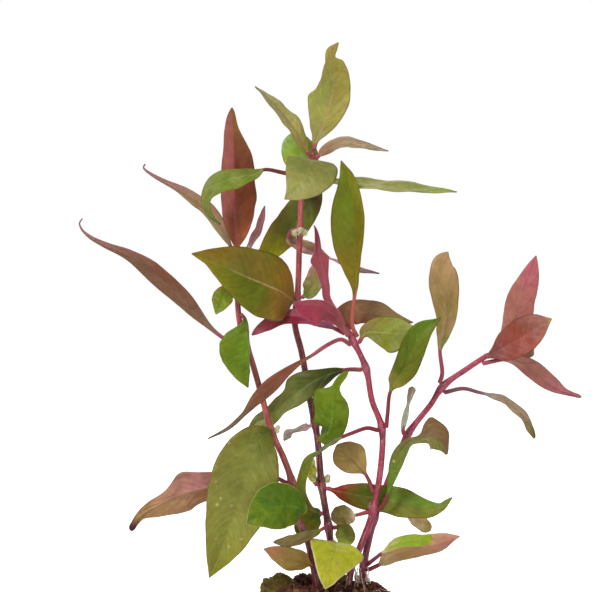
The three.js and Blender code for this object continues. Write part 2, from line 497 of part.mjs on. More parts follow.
    line: [[59.6, 8.4, 101], [64.6, 6.4, 104.2], [70, 5.2, 107.8], [75.2, 4.6, 110.8]],
    face: [0.1, -0.9, 0.45],
    sides: [
      [0, 0.5, 0.5], [0.1, 1.8, 2.2], [0.25, 4.6, 5], [0.45, 6, 6.2], [0.6, 6.2, 6.2], [0.75, 5.4, 5],
      [0.85, 4, 3.4], [0.93, 2, 1.6], [1, 0.2, 0.2],
    ],
  },
  right_crown_lower: {
    stem: "right", height: 96.6, skin: "red", fold: 6,
    line: [
      [60.4, 11, 96.8], [64.3, 11.2, 96], [69.3, 11, 93.3], [74.3, 10.7, 89.3], [79.3, 10.4, 86.3],
      [85.6, 10, 84.1],
    ],
    face: [0, 0.9, 0.4],
    sides: [
      [0, 0.5, 0.5], [0.15, 0.55, 0.55], [0.26, 1.5, 1.4], [0.38, 2.8, 2.7], [0.5, 3.3, 3.3],
      [0.62, 3.2, 3.2], [0.75, 2.3, 2.3], [0.83, 1.4, 1.3], [0.92, 0.9, 0.9], [0.98, 0.7, 0.7],
      [1, 0.3, 0.3],
    ],
  },
  right_crown_hidden: {
    stem: "right", height: 98, skin: "red", half: 4, stalk: 0.1, widest: 0.6, point: 1.2,
    line: [[59.5, 15, 100], [64.5, 16, 100.6], [70, 16.4, 98]],
    face: [0, -0.7, 0.7], rings: 8,
  },
  right_fork_tan: {
    stem: "right", height: 87.8, skin: "brown", fold: 5, ripple: 0.35,
    line: [
      [38.8, 9.4, 92], [38, 8.4, 100.3], [39, 7.8, 105.3], [40, 7.4, 110.9], [39.7, 7, 116.9],
      [39.2, 6.8, 123.6], [38.8, 6.4, 128.6], [40.5, 6, 133.2],
    ],
    face: [0, 1, 0.1], end: [-0.2, 1, 0.1], rings: 14,
    sides: [
      [0, 0.5, 0.5], [0.22, 0.5, 0.5], [0.27, 0.9, 0.8], [0.33, 1.9, 1.6], [0.366, 2.3, 2.2],
      [0.494, 3.5, 3.3], [0.628, 4.7, 4.4], [0.72, 5.1, 5], [0.8, 5, 5], [0.87, 4.2, 4.2],
      [0.93, 2.8, 3.4], [0.975, 1, 1.8], [1, 0.2, 0.2],
    ],
  },
  right_fork_drooping: {
    stem: "right", height: 86.8, skin: "olive", half: 2, stalk: 0.32, widest: 0.62, point: 1.1,
    line: [
      [46, 12, 86.8], [51, 12, 85.6], [57.7, 11.4, 83.9], [63.2, 10.8, 80.6], [67.2, 10, 76],
      [69.9, 9.6, 70.2],
    ],
    face: [0.2, -0.6, 0.75], end: [0.7, -0.7, 0.1], rings: 14,
  },
  right_low_grey: {
    stem: "right", height: 71.2, skin: "olive", fold: 10, ripple: 0.2,
    line: [[25.6, 6.4, 73.4], [26.4, 6.4, 77.6], [27.2, 6.2, 81.8], [28, 6, 85], [28.8, 6, 88]],
    face: [-0.4, -0.9, 0], end: [0.4, -0.9, 0.1], rings: 10,
    sides: [
      [0, 0.5, 0.5], [0.15, 0.8, 0.7], [0.35, 1.1, 1], [0.5, 0.9, 0.8], [0.62, 0.5, 0.5], [0.75, 1, 0.9],
      [0.88, 1.4, 1.3], [0.96, 1.4, 1.3], [1, 0.3, 0.3],
    ],
  },
  right_foot_pale: {
    stem: "right", height: 47.4, skin: "olive", half: 2.6, stalk: 0.4, widest: 0.62, point: 1.1,
    line: [[20.6, 7, 48.8], [24, 6.4, 48.6], [28.4, 5, 45.4], [31.4, 4, 42.4], [34.8, 3, 39.8]],
    face: [0, -0.9, 0.4], end: [0.2, -0.9, 0.3], rings: 10,
  },
  right_foot_pink: {
    stem: "right", height: 26.9, skin: "red", ripple: 0.2,
    line: [
      [18.3, 1, 29], [21.7, 0.2, 31.7], [26, -0.3, 33.3], [31, -0.6, 34.7], [36.3, -0.8, 35.8],
      [41, -0.8, 37.3], [44.4, -0.6, 38.3],
    ],
    face: [0, 0.85, 0.5],
    sides: [
      [0, 0.5, 0.5], [0.12, 0.6, 0.6], [0.17, 1.8, 1.6], [0.22, 2.8, 2.6], [0.34, 3.6, 3.8],
      [0.47, 3.9, 3.9], [0.62, 4.5, 4.2], [0.7, 4.4, 4.2], [0.77, 4, 4], [0.86, 2.8, 3.1],
      [0.93, 1.4, 1.7], [1, 0.2, 0.2],
    ],
  },
  right_foot_lime: {
    stem: "right", height: 28.8, skin: "pale", half: 3.1, stalk: 0.3, widest: 0.6, point: 1, fold: 5,
    line: [[16.2, -1, 31], [21.4, -5.4, 35.4], [26, -6.6, 37.2], [30.4, -7, 37.6], [35.2, -7, 38.4]],
    face: [-0.2, -0.6, 0.8], end: [0, -0.6, 0.8], ripple: 0.2,
  },
};

// Flower tufts: the stem and height that they sit at, and where each little head stands round the stem, in
// degrees from the right and counted towards the back

const FLOWERS = {
  tall_upper: { stem: "tall", height: 140, radius: 1.5, heads: [-130, -90, -50] },
  tall_lower: { stem: "tall", height: 57.2, radius: 1.5, heads: [-20, 15, 50, 90, 130, 165] },
  left: { stem: "left", height: 74.6, radius: 1.3, heads: [-25, 10, 45] },
};

const wasm = await Module();
wasm.setup();

function vector(point) {
  return new THREE.Vector3(...point);
}

function smoothLine(points) {
  return new THREE.CatmullRomCurve3(points, false, "centripetal");
}

// A closed rod with its round section and its length of one, whose points `place` then moves.
// place gets how far along the rod a point is, from 0 to 1, and its place in the unit section.
function sweptRod(sides, rings, place) {
  const rod = new THREE.CylinderGeometry(1, 1, 1, sides, rings);
  rod.deleteAttribute("normal");
  rod.deleteAttribute("uv");
  const shape = mergeVertices(rod);
  const points = shape.attributes.position;
  // The index lists the wall first, each four-sided face as the triangles a b d and b c d. The lower faces
  // get the other diagonal, so that the two sides of a thin rippled blade stay apart.
  const index = shape.index.array;
  for (let i = 0; i < 6 * sides * rings; i += 6) {
    const [a, b, d, , c] = index.subarray(i, i + 6);
    if (points.getZ(a) + points.getZ(d) < -0.001) index.set([a, b, c, a, c, d], i);
  }
  for (let i = 0; i < points.count; i++) {
    const along = THREE.MathUtils.clamp(points.getY(i) + 0.5, 0, 1);
    const moved = place(along, points.getX(i), points.getZ(i));
    points.setXYZ(i, moved.x, moved.y, moved.z);
  }
  return shape;
}

// The axes of a section: the way that it faces, and the way across it.
function sectionAxes(line, along, facing) {
  const tangent = line.getTangentAt(along);
  const face = facing.clone().addScaledVector(tangent, -facing.dot(tangent)).normalize();
  return { face, across: new THREE.Vector3().crossVectors(tangent, face) };
}

function mesh(name, shape, skin) {
  shape.computeVertexNormals();
  const made = new THREE.Mesh(shape, new THREE.MeshStandardMaterial({ ...SKIN[skin], flatShading: true }));
  made.name = name;
  return made;
}

// Stems

const STEM_SIDES = 8;
const STEM_STEP = 4; // length of one step along a stem

const stemLines = {};
for (const [name, stem] of Object.entries(STEMS)) stemLines[name] = smoothLine(stem.line.map(vector));

function stemRadius(name, height) {
  const line = STEMS[name].line;
  const share = (height - line[0][2]) / (line.at(-1)[2] - line[0][2]);
  let swell = 0;
  for (const joint of STEMS[name].joints) {
    swell = Math.max(swell, Math.exp(-(((height - joint) / NODE_LENGTH) ** 2)));
  }
  return THREE.MathUtils.lerp(STEM_RADIUS, STEM_TIP_RADIUS, share) + NODE_SWELL * swell;
}

// The stems rise all the way, so the point at a height is found by halving.
function stemPoint(name, height) {
  let low = 0;
  let high = 1;
  for (let i = 0; i < 30; i++) {
    const middle = (low + high) / 2;
    if (stemLines[name].getPointAt(middle).z < height) low = middle;
    else high = middle;
  }
  return { point: stemLines[name].getPointAt(low), tangent: stemLines[name].getTangentAt(low) };
}

function stemShape(name, extra) {
  const line = stemLines[name];
  const front = new THREE.Vector3(0, -1, 0);
  const rings = Math.round(line.getLength() / STEM_STEP);
  return sweptRod(STEM_SIDES, rings, (along, x, z) => {
    const centre = line.getPointAt(along);
    const { face, across } = sectionAxes(line, along, front);
    const radius = stemRadius(name, centre.z) + extra;
    return centre.addScaledVector(across, x * radius).addScaledVector(face, z * radius);
  });
}

// Leaves

const LEAF_SIDES = 4;
const RIPPLES = 3; // waves along a leaf's edge
const SIDE_STRETCH = 40; // spreads the given widths out, so that the curve through them has no loops

// Half the width of a blade at `share` of its length: nothing at both ends and all of it at the widest place.
function bladeWidth(leaf, share) {
  const before = (share / leaf.widest) ** (leaf.point * leaf.widest);
  const after = ((1 - share) / (1 - leaf.widest)) ** (leaf.point * (1 - leaf.widest));
  return leaf.half * before * after;
}

// The same for a leaf whose two sides are given: the smooth curve through them, as far along as `along`.
function sideWidth(curve, along, x) {
  const reach = Math.min(along, 0.9999) * SIDE_STRETCH;
  const next = Math.max(1, curve.findIndex((p) => p.x >= reach));
  const [low, high] = [curve[next - 1], curve[next]];
  const share = (reach - low.x) / (high.x - low.x);
  return x < 0 ? THREE.MathUtils.lerp(low.y, high.y, share) : THREE.MathUtils.lerp(low.z, high.z, share);
}

function leafLine(leaf) {
  const points = leaf.line.map(vector);
  const height = leaf.height ?? STEMS[leaf.stem].line.at(-1)[2];
  const { point, tangent } = stemPoint(leaf.stem, height);
  const out = points[0].clone().sub(point);
  if (leaf.height !== undefined) out.addScaledVector(tangent, -out.dot(tangent));
  const reach = stemRadius(leaf.stem, height) + GAP + STALK_RADIUS / 2;
  return smoothLine([point.addScaledVector(out.normalize(), reach), ...points]);
}

function leafShape(leaf) {
  const { stalk = 0, tail = 0, fold = 6, ripple = 0.3, rings = LEAF_RINGS, sides } = leaf;
  const line = leafLine(leaf);
  const given = sides?.map(([share, low, high]) => vector([share * SIDE_STRETCH, low, high]));
  const curve = given && smoothLine(given).getPoints(200);
  const widest = sides ? Math.max(...sides.flatMap((side) => side.slice(1))) : leaf.half;
  const raise = THREE.MathUtils.degToRad(fold);
  const start = vector(leaf.face);
  const end = vector(leaf.end ?? leaf.face);
  return sweptRod(LEAF_SIDES, rings, (along, x, z) => {
    const share = THREE.MathUtils.clamp((along - stalk) / (1 - stalk - tail), 0, 1);
    const turn = THREE.MathUtils.smoothstep(along, 0, 1);
    const { face, across } = sectionAxes(line, along, start.clone().lerp(end, turn));
    const core = THREE.MathUtils.lerp(STALK_RADIUS, LEAF_TIP, along);
    const width = Math.max(core, sides ? sideWidth(curve, along, x) : bladeWidth(leaf, share));
    const thickness = Math.max(LEAF_THICKNESS / 2, core) * (1 - 0.5 * share);
    const wave = ripple * x * Math.sin(2 * Math.PI * RIPPLES * share + x) * (width / widest);
    const lift = width * Math.abs(x) * Math.sin(raise) + wave + thickness * z;
    return line
      .getPointAt(along)
      .addScaledVector(across, width * x * Math.cos(raise))
      .addScaledVector(face, lift);
  });
}

// Solids that are joined or cut

function solid(shape) {
  const bare = shape.clone();
  bare.deleteAttribute("normal");
  bare.deleteAttribute("uv");
  const merged = mergeVertices(bare);
  return new wasm.Manifold(
    new wasm.Mesh({
      numProp: 3,
      vertProperties: new Float32Array(merged.attributes.position.array),
      triVerts: new Uint32Array(merged.index.array),
    }),
  );
}

function shapeOf(body) {
  const { vertProperties, triVerts } = body.getMesh();
  const shape = new THREE.BufferGeometry();
  shape.setAttribute("position", new THREE.BufferAttribute(vertProperties, 3));
  shape.setIndex(new THREE.BufferAttribute(triVerts, 1));
  return shape;
}

// Flower tufts: small round heads side by side round the stem, every second one higher

const HEAD_STAGGER = 0.9;

function flowerShape(tuft) {
  const { point } = stemPoint(tuft.stem, tuft.height);
  const reach = stemRadius(tuft.stem, tuft.height) + tuft.radius;
  const heads = tuft.heads.map((degrees, i) => {
    const angle = THREE.MathUtils.degToRad(degrees);
    const lift = (i % 2 ? 0.5 : -0.5) * HEAD_STAGGER;
    const head = new THREE.IcosahedronGeometry(tuft.radius, 0);
    head.translate(reach * Math.cos(angle), reach * Math.sin(angle), lift);
    return solid(head.translate(point.x, point.y, point.z));
  });
  const joined = heads.reduce((all, head) => all.add(head));
  return shapeOf(joined.subtract(solid(stemShape(tuft.stem, GAP))));
}

// The plug: a squat lump with a flat underside, a hummocky top, and a blind hole for each stem

const PLUG_SIDES = 20;
const PLUG_RINGS = 6;
const HUMMOCKS = [
  { at: [-15.5, 3, 18], radius: 7.5 },
  { at: [-8, 8, 19], radius: 6.5 },
  { at: [16.5, 2, 15.5], radius: 6.5 },
  { at: [4, 13, 17], radius: 7 },
  { at: [5, -9, 16], radius: 6.5 },
  { at: [-9, -9, 15.5], radius: 6.5 },
];

function plugShape() {
  const body = sweptRod(PLUG_SIDES, PLUG_RINGS, (along, x, z) => {
    const angle = Math.atan2(z, x);
    const lumps = 1 + 0.04 * Math.sin(3 * angle + 4 * along) + 0.03 * Math.sin(7 * angle - 5 * along);
    const shoulder = 1 - 0.22 * along ** 4 - 0.08 * (1 - along) ** 3;
    const radius = PLUG_RADIUS * lumps * shoulder;
    return new THREE.Vector3(radius * z, radius * x, PLUG_HEIGHT * along);
  });
  let plug = solid(body);
  for (const hummock of HUMMOCKS) {
    const ball = new THREE.IcosahedronGeometry(hummock.radius, 1);
    plug = plug.add(solid(ball.translate(...hummock.at)));
  }
  for (const name of Object.keys(STEMS)) plug = plug.subtract(solid(stemShape(name, GAP)));
  return shapeOf(plug);
}

// The plant

const plant = new THREE.Group();
plant.add(mesh("growing_plug", plugShape(), "plug"));
for (const name of Object.keys(STEMS)) plant.add(mesh(`stem_${name}`, stemShape(name, 0), "stem"));
for (const [name, leaf] of Object.entries(LEAVES)) {
  plant.add(mesh(`leaf_${name}`, leafShape(leaf), leaf.skin));
}
for (const [name, tuft] of Object.entries(FLOWERS)) {
  plant.add(mesh(`flowers_${name}`, flowerShape(tuft), "flower"));
}

export default plant;
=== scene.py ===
import bisect
import math
import random

import bmesh
import bpy
from mathutils import Matrix, Vector, noise


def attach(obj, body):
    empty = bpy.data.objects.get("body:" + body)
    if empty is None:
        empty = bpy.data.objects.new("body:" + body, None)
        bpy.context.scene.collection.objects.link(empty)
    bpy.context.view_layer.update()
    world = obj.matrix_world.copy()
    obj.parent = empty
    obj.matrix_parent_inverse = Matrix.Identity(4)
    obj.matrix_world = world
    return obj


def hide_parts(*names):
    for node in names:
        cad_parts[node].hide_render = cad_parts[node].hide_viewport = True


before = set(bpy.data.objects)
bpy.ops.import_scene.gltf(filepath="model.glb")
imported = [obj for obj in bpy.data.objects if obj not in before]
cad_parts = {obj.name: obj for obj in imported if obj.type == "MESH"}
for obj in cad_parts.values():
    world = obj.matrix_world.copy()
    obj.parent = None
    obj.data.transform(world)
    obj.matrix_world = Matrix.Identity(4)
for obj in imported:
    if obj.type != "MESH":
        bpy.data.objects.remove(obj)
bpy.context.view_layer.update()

# Camera, floor and light
# The plant stands on a plain white floor, in the white light of a photo studio. The camera looks at its
# front from three degrees above the level, from far enough away that the plant hardly foreshortens.

MM = 0.001
AIM = Vector((-10.3, 0, 118.7)) * MM
TILT = math.radians(3)
CAMERA_REACH = 1.37
FLOOR = 1.6
FLOOR_GLOW = 0.66  # for the camera alone, so that the floor looks as white as the studio
SKY_LIGHT = 0.34  # what the plant gets of the white sky that the camera sees
LAMPS = {  # place, width, power
    "key": ((-0.6, -0.75, 1.0), 0.35, 12),
    "fill": ((0.8, -0.9, 0.35), 0.6, 2.5),
    "back": ((0.1, 0.9, 0.7), 0.6, 2.5),
}


def placed(name, data):
    """A new object in the scene."""
    made = bpy.data.objects.new(name, data)
    bpy.context.scene.collection.objects.link(made)
    return made


def mesh_of(name, made):
    """The mesh of a finished bmesh."""
    data = bpy.data.meshes.new(name)
    made.to_mesh(data)
    made.free()
    return data


def facing(way):
    """The turn that points an object's Z along a direction."""
    return way.to_track_quat("Z", "Y")


def add(tree, kind, values=(), **settings):
    """A new node, with its settings, and with its inputs set or linked."""
    made = tree.nodes.new(kind)
    for key, value in settings.items():
        setattr(made, key, value)
    for key, value in dict(values).items():
        if isinstance(value, bpy.types.NodeSocket):
            tree.links.new(value, made.inputs[key])
        else:
            made.inputs[key].default_value = value
    return made


def calc(tree, operation, *values):
    return add(tree, "ShaderNodeMath", dict(enumerate(values)), operation=operation).outputs[0]


def new_material(name, **shader):
    """A material with one Principled shader, whose given inputs are set."""
    material = bpy.data.materials.new(name)
    material.use_nodes = True
    principled = material.node_tree.nodes["Principled BSDF"]
    for key, value in shader.items():
        principled.inputs[key.replace("_", " ")].default_value = value
    return material, principled


away = Vector((0, -math.cos(TILT), math.sin(TILT)))
camera = placed("camera", bpy.data.cameras.new("camera"))
camera.data.lens = 250
camera.data.sensor_width = 36
camera.location = AIM + away * CAMERA_REACH
camera.rotation_euler = facing(away).to_euler()
bpy.context.scene.camera = camera
bpy.context.scene.view_settings.view_transform = "Standard"

white, shader = new_material("floor_white", Base_Color=(0.93, 0.93, 0.93, 1), Roughness=0.9)
shader.inputs["Emission Color"].default_value = (1, 1, 1, 1)
tree = white.node_tree
seen = add(tree, "ShaderNodeLightPath").outputs["Is Camera Ray"]
tree.links.new(calc(tree, "MULTIPLY", seen, FLOOR_GLOW), shader.inputs["Emission Strength"])
disc = bmesh.new()
bmesh.ops.create_circle(disc, cap_ends=True, segments=96, radius=FLOOR)
floor = placed("floor", mesh_of("floor", disc))
floor.location.z = -0.0002
floor.data.materials.append(white)

world = bpy.data.worlds.new("studio")
world.use_nodes = True
tree = world.node_tree
background = tree.nodes["Background"].inputs
background["Color"].default_value = (1, 1, 1, 1)
seen = add(tree, "ShaderNodeLightPath").outputs["Is Camera Ray"]
glow = add(tree, "ShaderNodeMapRange", {"Value": seen, "To Min": SKY_LIGHT, "To Max": 1.0})
tree.links.new(glow.outputs["Result"], background["Strength"])
bpy.context.scene.world = world

for name, (place, width, power) in LAMPS.items():
    lamp = bpy.data.lights.new(name, "AREA")
    lamp.size = width
    lamp.energy = power
    light = placed(name, lamp)
    light.location = place
    light.rotation_euler = facing(Vector(place) - AIM).to_euler()

# Stems
# Four soft, slightly grooved stems, pink to crimson and darker near the foot, with swollen joints where
# the leaves grow and short pale hairs round each joint. The dark foot is the stems' own maroon, and on the
# tall stem it is also painted shade under its middle leaves. They root in the plug and reach up to the
# youngest leaves.

STEMS = {  # line: its centre, in millimetres. joints: heights. dark: the shares where the dark foot ends
    "tall": {
        "line": [
            (2, 4, 14), (2, 4, 26), (1, 3.5, 38), (-1.7, 3, 55), (-3.3, 3.5, 72), (-5.7, 4, 84),
            (-8.3, 4.5, 99), (-10.7, 5, 109.5), (-9.7, 4.5, 120), (-9, 3, 140), (-7.7, 1, 158),
            (-5.2, 0.2, 163.5), (-4.4, -0.2, 167),
        ],
        "joints": [41, 55, 76, 117.5, 140, 158.3],
        # the tall stem's dark reaches high: its own maroon, and also painted shade under its broad middle
        # leaf
        "dark": (0.45, 0.75),
        "colors": {"Top": "a8403f", "Foot": "561a22", "Streak_and_highlight": "cb7a74", "Joint": "b85c60"},
    },
    "left": {
        "line": [
            (-3, -4, 14), (-4, -5, 26), (-6.7, -5.3, 38.3), (-9.7, -5.6, 45), (-11.7, -6, 57.3),
            (-14.4, -6, 65), (-18.5, -5.6, 74), (-21.7, -5, 85.7), (-25, -4.5, 97.3), (-29, -4, 110),
            (-30, -2, 133),
        ],
        "joints": [31.5, 57, 74, 103, 122, 131],
        "dark": (0.1, 0.5),
        "colors": {"Top": "a84a44", "Foot": "742834", "Streak_and_highlight": "c87a70", "Joint": "b0605c"},
    },
    "middle": {
        "line": [
            (7, -2.5, 14), (8, -3, 27), (11, -2.6, 34.7), (14.3, -2.2, 43.3), (15.7, -2, 48), (18, -2, 62),
            (18.3, -2, 74.7), (15, -2.4, 84), (13, -3, 94.7), (8.7, -4, 104), (6, -5, 109),
        ],
        "joints": [48, 74.7, 94.7, 104],
        "dark": (0, 0.55),
        "colors": {"Top": "a03248", "Foot": "651c30", "Streak_and_highlight": "c86a78", "Joint": "c46c7c"},
    },
    "right": {
        "line": [
            (12, 4, 14), (12.3, 4, 26.7), (14.3, 4, 37.3), (17, 4.3, 47.3), (20.3, 6, 55.5), (27, 9, 71.2),
            (35, 10.5, 81.6), (39, 11, 87.6), (48, 11.6, 94.1), (55, 12, 98.7),
        ],
        "joints": [28, 43.5, 72, 87.5],
        "dark": (0.1, 0.5),
        "colors": {"Top": "aa344e", "Foot": "6a2036", "Streak_and_highlight": "c6647a", "Joint": "bc607a"},
    },
}
STEM_FOOT, STEM_TOP = 1.15, 0.85  # radius at the two ends
JOINT_SWELL, JOINT_HALF = 0.45, 2.0  # how far a joint stands out, and half its height
GROOVES, GROOVE_DEPTH, UNEVEN = 6, 0.05, 0.03
ROUNDED = 0.015  # the share of a stem that its rounded top takes
STEM_SIDES = 28
STEM_STEP = 0.8
HAIRS = 30  # round each joint
HAIR_LENGTH = (0.5, 1.1)
HAIR_RADII = (0.05, 0.01)
FRONT = Vector((0, -1, 0))
WELD = 0.000001


def smoothstep(low, high, value):
    share = min(max((value - low) / (high - low), 0), 1)
    return share * share * (3 - 2 * share)


def smooth_line(points, steps=30):
    """A centripetal Catmull-Rom curve: the lengths, points and directions of many places along it."""
    points = [Vector(p) for p in points]
    points = [points[0] * 2 - points[1]] + points + [points[-1] * 2 - points[-2]]
    places, ways = [], []
    for p0, p1, p2, p3 in zip(points, points[1:], points[2:], points[3:]):
        d0, d1, d2 = ((b - a).length ** 0.5 for a, b in ((p0, p1), (p1, p2), (p2, p3)))
        t1 = ((p1 - p0) / d0 - (p2 - p0) / (d0 + d1) + (p2 - p1) / d1) * d1
        t2 = ((p2 - p1) / d1 - (p3 - p1) / (d1 + d2) + (p3 - p2) / d2) * d1
        square = (p2 - p1) * 3 - t1 * 2 - t2
        cube = (p1 - p2) * 2 + t1 + t2
        for i in range(steps + (p3 is points[-1])):
            t = i / steps
            places.append(p1 + t1 * t + square * t ** 2 + cube * t ** 3)
            ways.append((t1 + square * 2 * t + cube * 3 * t ** 2).normalized())
    lengths = [0]
    for a, b in zip(places, places[1:]):
        lengths.append(lengths[-1] + (b - a).length)
    return lengths, places, ways


def at(line, along):
    """The point of a smooth line at a share of its length, and the line's direction there."""
    lengths, places, ways = line
    length = min(max(along, 0), 1) * lengths[-1]
    i = min(max(bisect.bisect(lengths, length) - 1, 0), len(places) - 2)
    t = (length - lengths[i]) / (lengths[i + 1] - lengths[i])
    return places[i].lerp(places[i + 1], t), ways[i].lerp(ways[i + 1], t).normalized()


def section(way, front):
    """The way that a section faces and the way across it, at right angles to the line's direction."""
    face = (front - way * front.dot(way)).normalized()
    return face, way.cross(face)


def outward(way, front, turn):
    """The way out from a line, at an angle round it."""
    face, across = section(way, front)
    return across * math.cos(turn) + face * math.sin(turn)


def swept(sides, rings, marks, place):
    """A closed tube. place gets a point's share of the way round and along, and gives its place in
    millimetres and the value of each mark there."""
    made = bmesh.new()
    skin = made.loops.layers.uv.new("skin")
    layers = [made.verts.layers.float.new(mark) for mark in marks]
    bmesh.ops.create_grid(made, x_segments=sides, y_segments=rings, size=0.5)
    for face in made.faces:
        face.smooth = True
        for loop in face.loops:
            loop[skin].uv = loop.vert.co.xy + Vector((0.5, 0.5))
    for vert in made.verts:
        point, values = place(vert.co.x + 0.5, vert.co.y + 0.5)
        vert.co = point * MM
        for layer, value in zip(layers, values):
            vert[layer] = value
    bmesh.ops.remove_doubles(made, verts=made.verts, dist=WELD)
    bmesh.ops.holes_fill(made, edges=[e for e in made.edges if e.is_boundary])
    bmesh.ops.recalc_face_normals(made, faces=made.faces)
    return made


def spike(made, centre, way, length, radii, sides, flat=1):
    """Adds a thin pointed cone to a mesh, in millimetres, and gives its corners."""
    spot = Matrix.Translation(centre * MM) @ facing(way).to_matrix().to_4x4()
    cone = bmesh.ops.create_cone(
        made, cap_ends=True, segments=sides, radius1=radii[0] * MM, radius2=radii[1] * MM,
        depth=length * MM, matrix=spot @ Matrix.Diagonal((1, flat, 1, 1)),
    )
    return cone["verts"]


def piece(name, made, material, node):
    """The object of a finished mesh, which stands for a CAD node."""
    shown = placed(name, mesh_of(name, made))
    shown.data.materials.append(material)
    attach(shown, "root")
    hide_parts(node)


def joint_swell(name, height):
    return max(math.exp(-(((height - joint) / JOINT_HALF) ** 2)) for joint in STEMS[name]["joints"])


def stem_radius(name, height):
    line = STEMS[name]["line"]
    share = (height - line[0][2]) / (line[-1][2] - line[0][2])
    return STEM_FOOT + (STEM_TOP - STEM_FOOT) * share + JOINT_SWELL * joint_swell(name, height)


def stem_place(name, height):
    """The point of a stem's centre line at a height, and the line's direction there."""
    low, high = 0, 1
    for _ in range(30):
        middle = (low + high) / 2
        if at(stem_lines[name], middle)[0].z < height:
            low = middle
        else:
            high = middle
    return at(stem_lines[name], low)


def rgb(code):
    """The linear colour of a six-digit web colour."""
    parts = [int(code[i:i + 2], 16) / 255 for i in (0, 2, 4)]
    return [p / 12.92 if p < 0.04045 else ((p + 0.055) / 1.055) ** 2.4 for p in parts] + [1]


def new_skin(name, inputs):
    """A node group for a surface: its tree, its inputs, and its outputs for colour and relief."""
    tree = bpy.data.node_groups.new(name, "ShaderNodeTree")
    outputs = {"Color": "Color", "Roughness": "Float", "Normal": "Vector"}
    for way, wanted in (("INPUT", inputs), ("OUTPUT", outputs)):
        for socket, kind in wanted.items():
            tree.interface.new_socket(socket, in_out=way, socket_type="NodeSocket" + kind)
    return tree, tree.nodes.new("NodeGroupInput").outputs, tree.nodes.new("NodeGroupOutput").inputs


def end_skin(tree, made, color, roughness, height, strength, distance):
    """Links a surface's colour, roughness and relief to its group's outputs."""
    bump = add(tree, "ShaderNodeBump", {"Height": height, "Strength": strength, "Distance": distance})
    for output, value in (("Color", color), ("Roughness", roughness), ("Normal", bump.outputs[0])):
        tree.links.new(value, made[output])


def ease(tree, value, low, high, start=0, end=1):
    """A smooth step from start to end while value goes from low to high."""
    values = {"Value": value, "From Min": low, "From Max": high, "To Min": start, "To Max": end}
    return add(tree, "ShaderNodeMapRange", values, interpolation_type="SMOOTHSTEP").outputs["Result"]


def times(tree, *values):
    return calc(tree, "MULTIPLY", *values)


def mix(tree, factor, first, second, kind="MIX"):
    values = {0: factor, 6: first, 7: second}
    return add(tree, "ShaderNodeMix", values, data_type="RGBA", blend_type=kind).outputs[2]


def mark(tree, name):
    return add(tree, "ShaderNodeAttribute", attribute_name=name).outputs["Fac"]


def grain(tree, vector, scale, detail=3, roughness=0.55):
    values = {"Vector": vector, "Scale": scale, "Detail": detail, "Roughness": roughness}
    return add(tree, "ShaderNodeTexNoise", values).outputs["Fac"]


def dressed(name, group, colors, **shader):
    """A material whose colour, roughness and relief come from a skin group with the given inputs."""
    material, principled = new_material(name, **shader)
    tree = material.node_tree
    skin = add(tree, "ShaderNodeGroup", colors, node_tree=group)
    for output, wanted in (("Color", "Base Color"), ("Roughness", "Roughness"), ("Normal", "Normal")):
        tree.links.new(skin.outputs[output], principled.inputs[wanted])
    return material


stem_skin, given, made = new_skin("stem_skin", dict.fromkeys(("Top", "Foot", "Streak_and_highlight", "Joint"), "Color"))
tree = stem_skin
where = add(tree, "ShaderNodeTexCoord").outputs["Object"]
uv = add(tree, "ShaderNodeSeparateXYZ", {0: add(tree, "ShaderNodeUVMap", uv_map="skin").outputs[0]})
turn = times(tree, uv.outputs[0], 2 * math.pi)
ring = add(tree, "ShaderNodeCombineXYZ", {
    0: calc(tree, "COSINE", turn), 1: calc(tree, "SINE", turn), 2: times(tree, uv.outputs[1], 7),
}).outputs[0]
streaks_and_highlights = grain(tree, ring, 3.2, 4)
patches = grain(tree, where, 190, 3)
flecks = grain(tree, where, 1500, 2)
# the Foot colour towards the foot: the stems' own maroon, and on the tall stem painted shade as well
color = mix(tree, mark(tree, "height"), given["Foot"], given["Top"])
# paler streaks along the stems: partly the stems' own streaking, partly painted highlights on the raised
# streaks
color = mix(tree, ease(tree, streaks_and_highlights, 0.5, 0.64, 0, 0.8), color, given["Streak_and_highlight"])
color = mix(tree, ease(tree, patches, 0.5, 0.7, 0, 0.55), color, given["Foot"])
color = mix(tree, ease(tree, flecks, 0.62, 0.7, 0, 0.4), color, rgb("e8c4c4"))
color = mix(tree, ease(tree, mark(tree, "joint"), 0.35, 1, 0, 0.35), color, given["Joint"])
color = mix(tree, ease(tree, mark(tree, "hair"), 0, 1, 0, 0.9), color, rgb("e3c3c0"))
end_skin(tree, made, color, ease(tree, patches, 0.3, 0.7, 0.28, 0.45), streaks_and_highlights, 0.5, 0.0002)

